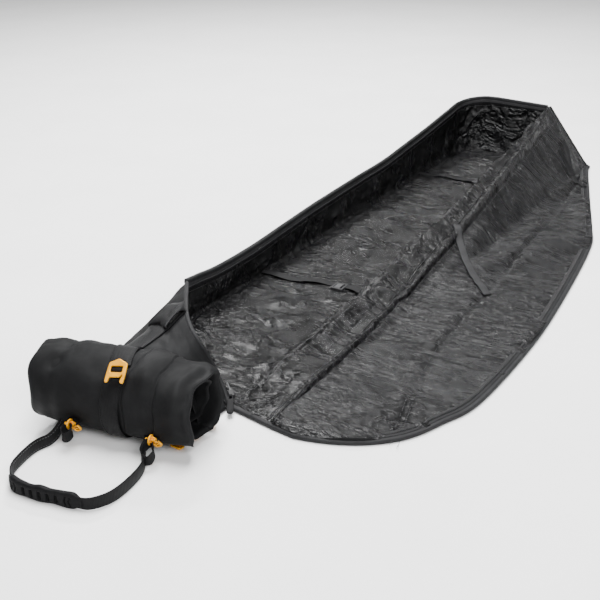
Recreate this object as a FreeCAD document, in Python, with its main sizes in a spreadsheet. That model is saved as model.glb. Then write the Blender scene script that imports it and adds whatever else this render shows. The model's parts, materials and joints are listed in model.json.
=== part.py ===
import FreeCAD, Part
import math
import os
import Sketcher

# Roll-up ski bag, lying open. Millimetres. +X runs along the bag to its far end, +Y to the
# standing left wall, +Z up from the ground. The origin is on the ground, under the middle of
# the floor panel. The tail is rolled up at the near end, in front of the closed hood.

Vector = FreeCAD.Vector
Rotation = FreeCAD.Rotation
Placement = FreeCAD.Placement
UP = Vector(0, 0, 1)
REACH = 300     # long enough for a cutting box to pass right through the hood

SIZES = {
    # panels
    "floor_length": 1870, "floor_width": 300, "floor_tail": 70,
    "shell_thick": 2, "foam_thick": 8, "lining_thick": 1, "fold_gap": 1,
    "near_wall": 104, "far_wall": 185, "nose_lead": 20,
    "rim_near": 99, "rim_low": 92, "rim_middle": 112, "rim_rise": 156,
    "rim_low_at": 560, "rim_middle_at": 1200, "rim_rise_at": 1650,
    "binding_deep": 7, "binding_proud": 1.5, "zip_wide": 6, "zip_thick": 1.5,
    # lid, as it lies on the ground
    "lid_reach": 545, "lid_corner_at": 262, "lid_waist": 502, "lid_waist_at": 1159,
    "lid_taper": 394, "lid_taper_at": 1534, "lid_end_drop": 145, "lid_end_gap": 13, "lid_tip": 12,
    "nose_radius": 275, "side_radius": 4000, "taper_radius": 2000,
    # hood over the near end
    "hood_back": 115, "hood_cut": 270, "hood_crown": 133, "crown_left": 12, "crown_right": 62,
    "hood_foot_in": 14, "hood_skin": 3, "hood_band_wide": 50, "hood_band_thick": 2,
    "hood_shoulder": 94, "hood_shoulder_drop": 10, "hood_hip_in": 58, "hood_hip_high": 60,
    "hood_edge_left": 85, "hood_edge_top": 15, "hood_edge_hip": 45, "hood_edge_foot": 5,
    "hood_band_long": 240, "hood_band_from": 90, "hood_band_side": 7, "hood_band_turn": 10,
    # rolled tail
    "roll_deep": 164, "roll_high": 154, "roll_long": 294, "roll_layer": 14, "roll_gap": 2,
    "roll_turns": 3, "roll_at": 147, "roll_side": 14, "roll_skew": 11.3,
    "strap_wide": 38, "strap_thick": 2.5, "strap_side": 16,
    # closing hook
    "hook_wide": 46, "hook_long": 48, "hook_thick": 4.5, "hook_bar": 7, "hook_slot": 9,
    "loop_gap": 0.8, "loop_skin": 2,
    # handle and its anchors
    "handle_span": 158, "handle_side": 20, "handle_reach": 166, "handle_flare": 21,
    "handle_web_high": 25, "handle_web_thick": 3, "grip_long": 126, "grip_high": 28,
    "grip_deep": 14, "grip_slot_long": 11, "grip_slot_high": 9, "grip_slot_deep": 3.5,
    "grip_slot_step": 21, "grip_clear": 1, "fit_gap": 0.4,
    "pin_radius": 2.5, "pin_high": 46, "pin_stand": 10, "ring_wall": 3.5, "ring_wide": 14,
    "shank_long": 20, "grip_lead": 17,
    "anchor_wide": 30, "anchor_high": 20, "anchor_plate": 3, "anchor_stand": 4, "tab_wide": 24,
    "ladder_step": 34, "ladder_low": 16, "ladder_high": 22,
    # zip slider and its pull
    "slider_long": 14, "slider_wide": 11, "slider_high": 9, "slider_room": 34, "track_size": 3,
    "slide_travel": 24, "track_from": 22, "track_inset": 17, "track_lift": 7,
    "pull_back": 8, "pull_side": 5, "pull_lift": 4.5, "pull_turn": 212, "pull_lean": 12, "link_gap": 2,
    "pull_long": 34, "pull_wide": 9, "pull_thick": 3, "link_long": 14, "link_wire": 2.4,
    # straps inside
    "ski_strap_wide": 25, "ski_strap_thick": 1.6, "mid_strap_at": 575, "far_strap_at": 1500,
    "buckle_long": 30, "buckle_wide": 34, "buckle_high": 7, "buckle_rail": 4.5, "buckle_bar": 3,
    "buckle_bar_high": 2, "buckle_lift": 0.3, "lever_thick": 3, "lever_swing": 1.2, "lever_heel": 4,
    "pole_band_wide": 20, "pole_band_at": 740, "pole_band_out": 386, "break_gap": 6,
    "pole_tie_wide": 16, "pole_tie_at": 1420, "pole_tie_step": 130, "pole_tie_long": 90,
    "pole_tie_short": 49.5,
}

doc = FreeCAD.newDocument("ski_bag")
sheet = doc.addObject("Spreadsheet::Sheet", "Sizes")
for row, (alias, value) in enumerate(SIZES.items(), start=1):
    sheet.set("A%d" % row, alias.replace("_", " "))
    sheet.set("B%d" % row, str(value))
    sheet.setAlias("B%d" % row, alias)
doc.recompute()


class Size:
    """A number from the sheet, with the expression that binds to it."""

    def __init__(self, value, text):
        self.value = float(value)
        self.text = text

    def __add__(self, other):
        other = as_size(other)
        return Size(self.value + other.value, "(%s + %s)" % (self.text, other.text))

    def __sub__(self, other):
        other = as_size(other)
        return Size(self.value - other.value, "(%s - %s)" % (self.text, other.text))

    def __mul__(self, factor):
        return Size(self.value * factor, "(%s * %s)" % (self.text, factor))

    def __neg__(self):
        return self * -1


def as_size(value):
    return value if isinstance(value, Size) else Size(value, "(%s)" % value)


def size(alias):
    return Size(sheet.get(alias), "Sizes." + alias)


def number(alias):
    return float(sheet.get(alias))


nodes = []


def keep(feature, label):
    feature.Label = label
    nodes.append(feature)
    return feature


def own_shape(label, shape, place=None):
    """A piece whose outline no sketch or primitive gives."""
    feature = doc.addObject("Part::Feature", label)
    feature.Shape = shape
    feature.Placement = place or Placement()
    return keep(feature, label)


def origin_plane(body, role):
    return [item for item in body.Origin.OriginFeatures if item.Role == role][0]


def arc_between(start, end, radius):
    """The arc that bulges to the right of start to end."""
    chord = end - start
    half = chord.Length / 2
    sagitta = radius - math.sqrt(radius * radius - half * half)
    out = Vector(chord.y, -chord.x, 0).normalize()
    return Part.Arc(start, start + chord * 0.5 + out * sagitta, end)


def outline(sketch, corners):
    """Corners run counter-clockwise: (x, y) or (x, y, radius of the arc to the next one)."""
    points = [Vector(as_size(c[0]).value, as_size(c[1]).value, 0) for c in corners]
    count = len(corners)
    for index, corner in enumerate(corners):
        start = points[index]
        end = points[(index + 1) % count]
        if len(corner) == 3:
            sketch.addGeometry(arc_between(start, end, corner[2].value))
        else:
            sketch.addGeometry(Part.LineSegment(start, end))
    for index in range(count):
        sketch.addConstraint(Sketcher.Constraint("Coincident", index, 2, (index + 1) % count, 1))
    for index, corner in enumerate(corners):
        for way, entry in zip(("DistanceX", "DistanceY"), corner):
            entry = as_size(entry)
            rule = Sketcher.Constraint(way, -1, 1, index, 1, entry.value)
            bound = sketch.addConstraint(rule)
            sketch.setExpression("Constraints[%d]" % bound, entry.text)
        if len(corner) == 3:
            bound = sketch.addConstraint(Sketcher.Constraint("Radius", index, corner[2].value))
            sketch.setExpression("Constraints[%d]" % bound, corner[2].text)


def flat_piece(label, plane, corners, lift, thick, place=None):
    """A padded sketch on one of its body's own planes, lift away along the plane's normal."""
    body = doc.addObject("PartDesign::Body", label)
    sketch = body.newObject("Sketcher::SketchObject", label + "_outline")
    sketch.AttachmentSupport = [(origin_plane(body, plane), "")]
    sketch.MapMode = "FlatFace"
    sketch.setExpression(".AttachmentOffset.Base.z", as_size(lift).text)
    outline(sketch, corners)
    pad = body.newObject("PartDesign::Pad", label + "_pad")
    pad.Profile = sketch
    pad.setExpression("Length", as_size(thick).text)
    body.Placement = place or Placement()
    return keep(body, label)


# ---------------------------------------------------------------- derived places
LAYERS = (("shell", size("shell_thick")), ("foam", size("foam_thick")),
          ("lining", size("lining_thick")))
laminate = size("shell_thick") + size("foam_thick") + size("lining_thick")
half_width = size("floor_width") * 0.5
near_end = size("floor_length") * -0.5
far_end = size("floor_length") * 0.5
fold_set_back = laminate.value + number("fold_gap")


def along(alias):
    """A place measured from the near end of the opening."""
    return near_end + size(alias)


def layered(label, plane, corners, lift, outward, place=None):
    """Shell, foam and lining, stacked from the outer face inward."""
    depth = as_size(0)
    for layer, thick in LAYERS:
        start = lift + depth if outward else lift - depth - thick
        flat_piece("%s_%s" % (label, layer), plane, corners, start, thick, place)
        depth = depth + thick


# ---------------------------------------------------------------- tub
def floor():
    start = near_end - size("floor_tail")
    corners = [(start, -half_width), (far_end, -half_width), (far_end, half_width),
               (start, half_width)]
    layered("floor", "XY_Plane", corners, as_size(0), True)


def left_rim(lower):
    """The sagging top line of the left wall, lower down by so much, far end first."""
    return [(far_end - laminate, size("far_wall") - lower),
            (along("rim_rise_at"), size("rim_rise") - lower),
            (along("rim_middle_at"), size("rim_middle") - lower),
            (along("rim_low_at"), size("rim_low") - lower),
            (along("hood_cut"), size("rim_near") - lower)]


def left_wall():
    foot = [(along("hood_cut"), laminate), (far_end - laminate, laminate)]
    layered("left_wall", "XZ_Plane", foot + left_rim(size("binding_deep")), -half_width, True)


def end_wall():
    top = size("far_wall") - size("binding_deep")
    corners = [(-half_width, laminate), (half_width, laminate), (half_width, top),
               (-half_width, top)]
    layered("end_wall", "YZ_Plane", corners, far_end, False)


def rim_trim():
    """Binding along the left rim, and the zip half sewn inside it."""
    low = left_rim(size("binding_deep"))
    top = left_rim(as_size(0))
    flat_piece("left_rim_binding", "XZ_Plane", low[::-1] + top, -half_width, laminate)
    end_low = size("far_wall") - size("binding_deep")
    corners = [(-half_width, end_low), (half_width, end_low), (half_width, size("far_wall")),
               (-half_width, size("far_wall"))]
    flat_piece("end_rim_binding", "YZ_Plane", corners, far_end - laminate, laminate)
    under = left_rim(size("binding_deep") + size("zip_wide"))
    flat_piece("left_rim_zip", "XZ_Plane", under[::-1] + low, laminate - half_width,
               size("zip_thick"))
    end_under = end_low - size("zip_wide")
    inside = half_width - laminate
    meet = inside - size("zip_thick") - size("fit_gap")
    corners = [(-inside, end_under), (meet, end_under), (meet, end_low), (-inside, end_low)]
    start = far_end - laminate - size("zip_thick")
    flat_piece("end_rim_zip", "YZ_Plane", corners, start, size("zip_thick"))


# The collapsed right wall folds along the crease, and the lid along the ridge and the break.
crease_near = Vector(near_end.value, -half_width.value, 0)
ridge_far = Vector(far_end.value, -half_width.value, number("far_wall"))
ridge_near = crease_near + Vector(-number("nose_lead"), -number("near_wall"), 0)
break_far = Vector(far_end.value, -half_width.value - number("lid_end_drop"), 0)


def right_wall():
    """The part of the right wall that still stands: all that lies below the crease."""
    rise = number("far_wall") / number("floor_length")
    drop = fold_set_back * math.sqrt(1 + rise * rise)
    foot = Vector((laminate.value + drop) / rise - number("floor_length") / 2, laminate.value)
    far = far_end.value - laminate.value
    top = (far + number("floor_length") / 2) * rise - drop
    wall = [Vector(foot.x, 0, laminate.value), Vector(far, 0, laminate.value),
            Vector(far, 0, top)]
    outer = -half_width.value
    for layer, thick in LAYERS:
        points = [point + Vector(0, outer, 0) for point in wall]
        face = Part.Face(Part.makePolygon(points + points[:1]))
        own_shape("right_wall_" + layer, face.extrude(Vector(0, thick.value, 0)))
        outer += thick.value


def inset(corners, gaps):
    """The triangle whose edges lie gaps inside those of corners; edge i starts at corner i."""
    normal = (corners[1] - corners[0]).cross(corners[2] - corners[0]).normalize()
    lines = []
    for index, gap in enumerate(gaps):
        way = (corners[(index + 1) % 3] - corners[index]).normalize()
        lines.append((corners[index] + normal.cross(way) * gap, way))
    result = []
    for index in range(3):
        base, way = lines[index - 1]
        other, other_way = lines[index]
        side = normal.cross(other_way)
        result.append(base + way * ((other - base).dot(side) / way.dot(side)))
    return result


def folded_panel(label, corners, gaps):
    """A triangular laminate, its shell on the plane of corners and its lining above."""
    points = inset(corners, gaps)
    normal = (corners[1] - corners[0]).cross(corners[2] - corners[0]).normalize()
    face = Part.Face(Part.makePolygon(points + points[:1]))
    depth = 0.0
    for layer, thick in LAYERS:
        solid = face.extrude(normal * thick.value)
        own_shape("%s_%s" % (label, layer), solid, Placement(normal * depth, Rotation()))
        depth += thick.value


def right_flap():
    folded_panel("right_flap", [ridge_near, ridge_far, crease_near],
                 [fold_set_back, fold_set_back, number("slider_room")])


def lid_inner():
    folded_panel("lid_inner", [ridge_near, break_far, ridge_far],
                 [fold_set_back, number("lid_end_gap"), fold_set_back])


def break_point(distance):
    """The lid's inner edge on the ground, set back from the break, so far from the near end."""
    slope = (break_far.y - ridge_near.y) / (break_far.x - ridge_near.x)
    x = near_end.value + distance
    y = ridge_near.y + (x - ridge_near.x) * slope
    return Vector(x, y - fold_set_back * math.sqrt(1 + slope * slope), 0)


def lid_corners(grow):
    """The lid's outer panel on the ground, its zip edge moved out by grow."""
    near = break_point(-number("nose_lead"))
    far = break_point(number("floor_length") - number("lid_end_gap"))
    return [(near.x - grow, near.y, size("nose_radius") + grow),
            (along("lid_corner_at"), -size("lid_reach") - grow, size("side_radius") + grow),
            (along("lid_waist_at"), -size("lid_waist") - grow, size("taper_radius") + grow),
            (along("lid_taper_at"), -size("lid_taper") - grow),
            (far.x, far.y - number("lid_tip") - grow), (far.x, far.y)]


def lid_outer():
    layered("lid_outer", "XY_Plane", lid_corners(0), as_size(0), True)


def solid_of(corners, low, high):
    """A plain prism on the same kind of corners as a sketch."""
    points = [Vector(as_size(c[0]).value, as_size(c[1]).value, low) for c in corners]
    edges = []
    for index, corner in enumerate(corners):
        start = points[index]
        end = points[(index + 1) % len(points)]
        if len(corner) == 3:
            edges.append(arc_between(start, end, corner[2].value).toShape())
        else:
            edges.append(Part.LineSegment(start, end).toShape())
    return Part.Face(Part.Wire(edges)).extrude(Vector(0, 0, high - low))


def lid_edge():
    """Binding round the lid's free edge, and the zip half on its lining side."""
    top = laminate.value
    wide = number("binding_deep")
    ring = solid_of(lid_corners(wide), 0, top).cut(solid_of(lid_corners(0), 0, top))
    own_shape("lid_binding", ring)
    proud = top + number("zip_thick")
    zip_wide = number("zip_wide")
    zip_ring = solid_of(lid_corners(0), top, proud).cut(solid_of(lid_corners(-zip_wide), top, proud))
    fold = break_point(0)
    cut = Part.makeBox(number("floor_length") * 1.2, zip_wide * 4, proud * 2,
                       Vector(near_end.value - zip_wide * 4, fold.y - zip_wide, 0))
    own_shape("lid_zip", zip_ring.cut(cut))


# ---------------------------------------------------------------- rolled tail
roll_place = Placement(Vector(near_end.value - number("roll_at"), -number("roll_side"), 0),
                       Rotation(UP, number("roll_skew")))
half_deep = number("roll_deep") / 2
half_high = number("roll_high") / 2


def roll_point(angle, inward, side=0.0):
    """A point of the roll's section, angle degrees round from its back, in the roll's frame."""
    turn = math.radians(angle)
    return Vector((half_deep - inward) * math.cos(turn), side,
                  half_high + (half_high - inward) * math.sin(turn))


def roll_solid(grow=0.0, extra=40.0):
    """The roll's outer form, longer by extra at each end."""
    middle = Vector(0, 0, half_high)
    ellipse = Part.Ellipse(middle + Vector(half_deep + grow, 0, 0),
                           middle + Vector(0, 0, half_high + grow), middle)
    long = number("roll_long") + 2 * extra
    face = Part.Face(Part.Wire(ellipse.toShape()))
    face.translate(Vector(0, long / 2, 0))
    return face.extrude(Vector(0, -long, 0))


def tail_roll():
    """The tail's folded fabric, wound inwards from the ground."""
    layer = number("roll_layer")
    pitch = layer + number("roll_gap")
    turns = number("roll_turns")
    side = -number("roll_long") / 2
    step = 22.5
    outer = []
    inner = []
    for index in range(int(turns * 360 / step) + 1):
        angle = index * step
        depth = max(0.0, angle - 360) / 360 * pitch + min(angle, 360.0) / 360 * pitch
        outer.append(roll_point(angle - 90, depth, side))
        inner.append(roll_point(angle - 90, depth + layer, side))
    curves = []
    for points in (outer, inner[::-1]):
        curve = Part.BSplineCurve()
        curve.interpolate(points)
        curves.append(curve.toShape())
    ends = [Part.LineSegment(outer[-1], inner[-1]).toShape(),
            Part.LineSegment(inner[0], outer[0]).toShape()]
    wire = Part.Wire([curves[0], ends[0], curves[1], ends[1]])
    solid = Part.Face(wire).extrude(Vector(0, number("roll_long"), 0))
    own_shape("tail_roll", solid, roll_place)


def roll_band(label, first, last, wide, thick, side):
    """Webbing laid on the roll from one angle to another."""
    step = 6.0
    count = int(round((last - first) / step))
    angles = [first + (last - first) * index / count for index in range(count + 1)]
    edge = side - wide / 2
    low = [roll_point(angle, 0, edge) for angle in angles]
    high = [roll_point(angle, -thick, edge) for angle in angles]
    wire = Part.makePolygon(low + high[::-1] + low[:1])
    solid = Part.Face(wire).extrude(Vector(0, wide, 0)).cut(roll_solid())
    return own_shape(label, solid, roll_place)


HOOK_ANGLE = 121.0
UPPER_STRAP_FROM = 62.0
UPPER_STRAP_TO = 97.0
LOWER_STRAP_FROM = 139.0
LOWER_STRAP_TO = 214.0


def roll_straps():
    wide = number("strap_wide")
    thick = number("strap_thick")
    side = -number("strap_side")
    roll_band("roll_strap_upper", UPPER_STRAP_FROM, UPPER_STRAP_TO, wide, thick, side)
    roll_band("roll_strap_lower", LOWER_STRAP_FROM, LOWER_STRAP_TO, wide, thick, side)


def hook_place():
    """The closing hook's own frame: X down the roll's front, Z out from the roll."""
    turn = math.radians(HOOK_ANGLE)
    down = Vector(-half_deep * math.sin(turn), 0, half_high * math.cos(turn)).normalize()
    out = Vector(half_high * math.cos(turn), 0, half_deep * math.sin(turn)).normalize()
    spot = roll_point(HOOK_ANGLE, 0, -number("strap_side"))
    stand_off = number("strap_thick") + number("loop_skin") + number("loop_gap")
    return roll_place.multiply(Placement(spot + out * stand_off,
                                         Rotation(down, out.cross(down), out, "XZY")))


def roll_hook():
    """A flat hook: a closed window for the strap above, an open throat with two prongs below."""
    wide = size("hook_wide")
    length = size("hook_long")
    bar = size("hook_bar")
    half = wide * 0.5
    top = length * -0.5
    shoulder = half - bar
    corners = [(top, -shoulder), (top + bar, -half), (top + length, -half),
               (top + length, bar - half), (top + bar * 2 + size("hook_slot"), bar - half),
               (top + bar * 2 + size("hook_slot"), half - bar),
               (top + length, half - bar), (top + length, half), (top + bar, half),
               (top, shoulder)]
    body = flat_piece("roll_hook", "XY_Plane", corners, as_size(0), size("hook_thick"),
                      hook_place())
    window = body.newObject("Sketcher::SketchObject", "roll_hook_window")
    window.AttachmentSupport = [(origin_plane(body, "XY_Plane"), "")]
    window.MapMode = "FlatFace"
    outline(window, [(top + bar, -shoulder), (top + bar + size("hook_slot"), -shoulder),
                     (top + bar + size("hook_slot"), shoulder), (top + bar, shoulder)])
    cut = body.newObject("PartDesign::Pocket", "roll_hook_slot")
    cut.Profile = window
    cut.Reversed = True
    cut.setExpression("Length", size("hook_thick").text)


def hook_loops():
    """The strap's sewn loop round the hook's top bar, with room for the bar to turn in it."""
    bar = number("hook_bar")
    skin = number("loop_skin")
    gap = number("loop_gap")
    thick = number("hook_thick")
    wide = number("hook_wide") - 2 * bar - 2 * gap
    near = -number("hook_long") / 2 - gap
    room = bar + 2 * gap
    low = thick / 2 - room / 2
    outer = Part.makeBox(room + 2 * skin, wide, room + 2 * skin,
                         Vector(near - skin, -wide / 2, low - skin))
    inner = Part.makeBox(room, wide, room, Vector(near, -wide / 2, low))
    own_shape("strap_loop", outer.cut(inner).cut(hook_clear()), hook_place())


def hook_clear():
    """The roll's outer form, in the hook's frame."""
    solid = roll_solid()
    solid.Placement = hook_place().inverse().multiply(roll_place)
    return solid


# ---------------------------------------------------------------- hood
def hood_foot():
    """How far right of the middle the hood stands on the floor panel."""
    return half_width.value - number("hood_foot_in")


def hood_hip():
    return half_width.value - number("hood_hip_in")


def hood_section(grow):
    """The hood's outline across the bag, standing on the floor panel's edges."""
    foot = laminate.value
    crown = number("hood_crown")
    points = [(half_width.value, foot), (half_width.value, number("rim_near")),
              (number("hood_shoulder"), crown - number("hood_shoulder_drop")),
              (number("crown_left"), crown), (-number("crown_right"), crown),
              (-hood_hip(), number("hood_hip_high")), (-hood_foot(), foot)]
    start = near_end.value - number("hood_back")
    wire = Part.makePolygon([Vector(start, y, z) for y, z in points + points[:1]])
    face = Part.Face(wire)
    if grow:
        face = face.makeOffset2D(grow, 2)
    return face.extrude(Vector(number("hood_back") + number("hood_cut"), 0, 0))


def hood_front(back_by):
    """All that lies in front of the hood's free edge, the edge moved back by so much."""
    wide = half_width.value + REACH
    edge = [(number("hood_cut"), wide), (number("hood_cut"), half_width.value),
            (number("hood_edge_left"), number("crown_left")),
            (number("hood_edge_top"), -number("crown_right")),
            (number("hood_edge_hip"), -hood_hip()),
            (number("hood_edge_foot"), -hood_foot()), (number("hood_edge_foot"), -wide)]
    points = [(x - back_by, y) for x, y in edge]
    points += [(number("hood_cut") + REACH, -wide), (number("hood_cut") + REACH, wide)]
    wire = Part.makePolygon([Vector(near_end.value + x, y, -REACH) for x, y in points + points[:1]])
    return Part.Face(wire).extrude(Vector(0, 0, 3 * REACH))


def hood():
    skin = number("hood_skin")
    roll = roll_solid(0.0, 60.0)
    roll.Placement = roll_place
    start = Vector(near_end.value - 2 * REACH, -REACH, 0)
    below = Part.makeBox(4 * REACH, 2 * REACH, laminate.value, start)
    full = hood_section(0).cut(hood_section(-skin)).cut(roll).cut(below)
    binding = number("binding_deep")
    own_shape("hood_shell", full.cut(hood_front(binding)))
    own_shape("hood_binding", full.common(hood_front(binding)).cut(hood_front(0)))
    thick = number("hood_band_thick")
    band = hood_section(thick).cut(hood_section(0)).cut(roll).cut(below)
    wide = number("hood_band_wide")
    plan = Part.makeBox(number("hood_band_long"), wide, REACH, Vector(0, -wide / 2, wide))
    place = Vector(near_end.value - number("hood_band_from"), number("hood_band_side"), 0)
    plan.Placement = Placement(place, Rotation(UP, number("hood_band_turn")))
    own_shape("hood_band", band.common(plan).cut(hood_front(binding)))


# ---------------------------------------------------------------- anchors and handle
def pin_out():
    """How far in front of the roll's middle the handle's pins lie."""
    return half_deep + number("pin_stand")


def anchor_place(side):
    """An anchor's frame: its pin along Y, X out to the roll's front, Z up."""
    spot = Placement(Vector(-pin_out(), side, number("pin_high")), Rotation(UP, 180))
    return roll_place.multiply(spot)


def anchor_back():
    """How far behind the pin's axis the anchor's plate starts: room for a ring to turn."""
    return (number("pin_radius") + number("ring_wall") + number("fit_gap")
            + number("anchor_stand"))


def anchor_shape():
    """A small bracket: a back plate, two ears and the pin that a hook closes on."""
    wide = number("anchor_wide")
    high = number("anchor_high")
    plate = number("anchor_plate")
    back = -anchor_back()
    shape = Part.makeBox(plate, wide, high, Vector(back - plate, -wide / 2, -high / 2))
    for side in (-wide / 2, wide / 2 - plate):
        ear = Part.makeBox(number("pin_radius") * 2 - back, plate, high * 0.5,
                           Vector(back, side, -high * 0.25))
        shape = shape.fuse(ear)
    pin = Part.makeCylinder(number("pin_radius"), wide - plate, Vector(0, -(wide - plate) / 2, 0),
                            Vector(0, 1, 0))
    return shape.fuse(pin).removeSplitter()


def handle_sides():
    middle = -number("handle_side")
    return {"left": middle + number("handle_span") / 2, "right": middle - number("handle_span") / 2}


def anchors():
    for name, side in handle_sides().items():
        own_shape("anchor_" + name, anchor_shape(), anchor_place(side))
        wide = number("tab_wide")
        back = -anchor_back()
        high = number("anchor_high")
        deep = pin_out()
        tab = Part.makeBox(deep, wide, high, Vector(back - number("anchor_plate") - deep, -wide / 2,
                                                    -high / 2))
        roll = roll_solid()
        roll.Placement = anchor_place(side).inverse().multiply(roll_place)
        pieces = [solid for solid in tab.cut(roll).Solids if solid.CenterOfMass.x > -deep * 0.6]
        own_shape("anchor_tab_" + name, pieces[0], anchor_place(side))


def spare_anchors():
    """More anchors of the same ladder, on the roll's right end."""
    shapes = []
    end = -number("roll_long") / 2
    reach = anchor_back() + number("anchor_plate")
    step = number("ladder_step")
    low = number("ladder_low")
    high_ends = number("ladder_high")
    for deep, high in ((-step, high_ends), (0, low), (step, high_ends)):
        shape = anchor_shape()
        place = Placement(Vector(deep, end - reach, high), Rotation(UP, -90))
        shape.Placement = roll_place.multiply(place)
        shapes.append(shape)
    own_shape("spare_anchors", Part.makeCompound(shapes))


def handle_place():
    """The handle's frame: Y along both pins, X out to the grip, tilted down to the ground."""
    drop = number("pin_high") - number("grip_high") / 2 - number("grip_clear")
    tilt = math.degrees(math.asin(drop / number("handle_reach")))
    middle = anchor_place(-number("handle_side"))
    return middle.multiply(Placement(Vector(0, 0, 0), Rotation(Vector(0, 1, 0), tilt)))


def handle_line():
    """Half of the webbing's line, from a ring out to the grip."""
    start = number("handle_span") / 2
    ring = number("pin_radius") + number("fit_gap") + number("ring_wall")
    flare = start + number("handle_flare")
    reach = number("handle_reach")
    return [(ring + 12, start), (ring + 26, start + 3), (64, flare), (110, flare),
            (reach - 18, number("grip_long") / 2 + number("grip_lead")),
            (reach, number("grip_long") / 2)]


def webbing_ribbon(points, thick, high):
    """Webbing on edge along a line, thick across and high upright."""
    left = []
    right = []
    for index, point in enumerate(points):
        before = points[max(index - 1, 0)]
        after = points[min(index + 1, len(points) - 1)]
        way = Vector(after[0] - before[0], after[1] - before[1], 0).normalize()
        out = Vector(-way.y, way.x, 0) * (thick / 2)
        base = Vector(point[0], point[1], -high / 2)
        left.append(base + out)
        right.append(base - out)
    wire = Part.makePolygon(left + right[::-1] + left[:1])
    return Part.Face(wire).extrude(Vector(0, 0, high))


def handle():
    half = handle_line()
    line = half + [(x, -y) for x, y in half[::-1]]
    thick = number("handle_web_thick")
    high = number("handle_web_high")
    own_shape("handle_webbing", webbing_ribbon(line, thick, high), handle_place())
    grip = size("grip_long")
    deep = size("grip_deep")
    tall = size("grip_high")
    block = doc.addObject("Part::Box", "grip_block")
    channel = doc.addObject("Part::Box", "grip_channel")
    gap = size("fit_gap")
    web = size("handle_web_thick") + gap * 2
    slit = size("handle_web_high") + gap * 2
    for box, across, length, height in ((block, deep, grip, tall), (channel, web, grip + 2, slit)):
        box.setExpression("Length", across.text)
        box.setExpression("Width", length.text)
        box.setExpression("Height", height.text)
        box.setExpression(".Placement.Base.x", (size("handle_reach") - across * 0.5).text)
        box.setExpression(".Placement.Base.y", (length * -0.5).text)
        box.setExpression(".Placement.Base.z", (height * -0.5).text)
    hollow = doc.addObject("Part::Cut", "grip_sleeve")
    hollow.Base = block
    hollow.Tool = channel
    for index in range(5):
        slot = doc.addObject("Part::Box", "grip_slot_%d" % index)
        slot.setExpression("Length", size("grip_slot_deep").text)
        slot.setExpression("Width", size("grip_slot_long").text)
        slot.setExpression("Height", size("grip_slot_high").text)
        outside = size("handle_reach") + deep * 0.5 - size("grip_slot_deep")
        slot.setExpression(".Placement.Base.x", outside.text)
        middle = size("grip_slot_step") * (index - 2) - size("grip_slot_long") * 0.5
        slot.setExpression(".Placement.Base.y", middle.text)
        slot.setExpression(".Placement.Base.z", (size("grip_slot_high") * -0.5).text)
        cut = doc.addObject("Part::Cut", "grip_cut_%d" % index)
        cut.Base = hollow
        cut.Tool = slot
        hollow = cut
    hollow.Placement = handle_place()
    keep(hollow, "handle_grip")
    for name, side in (("left", -1), ("right", 1)):
        own_shape("handle_hook_" + name, handle_hook(side), handle_place())


def handle_hook(side):
    """A ring round the anchor's pin with a shank that the webbing is sewn to."""
    inner = number("pin_radius") + number("fit_gap")
    outer = inner + number("ring_wall")
    wide = number("ring_wide")
    middle = side * number("handle_span") / 2
    base = Vector(0, middle - wide / 2, 0)
    thick = number("handle_web_thick")
    shape = Part.makeCylinder(outer, wide, base, Vector(0, 1, 0))
    shape = shape.cut(Part.makeCylinder(inner, wide, base, Vector(0, 1, 0)))
    shank = Part.makeBox(number("shank_long"), wide, outer * 2,
                         Vector(inner + 0.5, middle - wide / 2, -outer))
    line = [(x, side * y) for x, y in handle_line()]
    ribbon = webbing_ribbon(line, thick, number("handle_web_high"))
    hole = Part.makeCylinder(inner, wide, base, Vector(0, 1, 0))
    return shape.fuse(shank.cut(hole)).cut(ribbon).removeSplitter()


# ---------------------------------------------------------------- zip slider
track_way = Vector(40, 45, 22).normalize()
track_start = Vector(near_end.value + number("track_from"), number("track_inset") - half_width.value,
                     laminate.value + number("track_lift"))


def track_place():
    """The zip's first run: X up along the hood's free edge, Y level across it."""
    across = UP.cross(track_way).normalize()
    top = track_way.cross(across)
    return Placement(track_start, Rotation(track_way, across, top, "XYZ"))


def zip_parts():
    thin = number("track_size")
    run = number("slide_travel") + number("slider_long")
    track = Part.makeBox(run, thin, thin, Vector(-number("slider_long") / 2, -thin / 2, -thin / 2))
    own_shape("zip_track", track, track_place())
    long = number("slider_long")
    wide = number("slider_wide")
    high = number("slider_high")
    hole = thin + 2 * number("fit_gap")
    block = Part.makeBox(long, wide, high, Vector(-long / 2, -wide / 2, -high / 2))
    block = block.cut(Part.makeBox(long, hole, hole, Vector(-long / 2, -hole / 2, -hole / 2)))
    own_shape("zip_slider", block, track_place())


pull_spot = Vector(-number("pull_back"), -number("pull_side"), number("pull_lift"))
pull_place = Placement(track_start + pull_spot, Rotation(UP, number("pull_turn")))


def zip_pull():
    """A wire link on the slider's nose, and the moulded pull that lies outwards from it."""
    wire = number("link_wire")
    long = number("link_long")
    wide = number("pull_wide")
    near = number("link_gap")
    half = wide * 0.4
    place = pull_place.multiply(Placement(Vector(), Rotation(Vector(0, 1, 0), number("pull_lean"))))
    link = Part.makeBox(long, half * 2, wire, Vector(near, -half, -wire / 2))
    link = link.cut(Part.makeBox(long - 2 * wire, half * 2 - 2 * wire, wire,
                                 Vector(near + wire, wire - half, -wire / 2)))
    own_shape("pull_link", link, place)
    thick = number("pull_thick")
    start = near + long
    tab = Part.makeBox(number("pull_long"), wide, thick, Vector(start, -wide / 2, -thick / 2))
    ends = [edge for edge in tab.Edges if abs(edge.tangentAt(0).z) > 0.9
            and edge.CenterOfMass.x > start + 1]
    own_shape("pull_tab", tab.makeFillet(wide * 0.45, ends), place)


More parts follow.
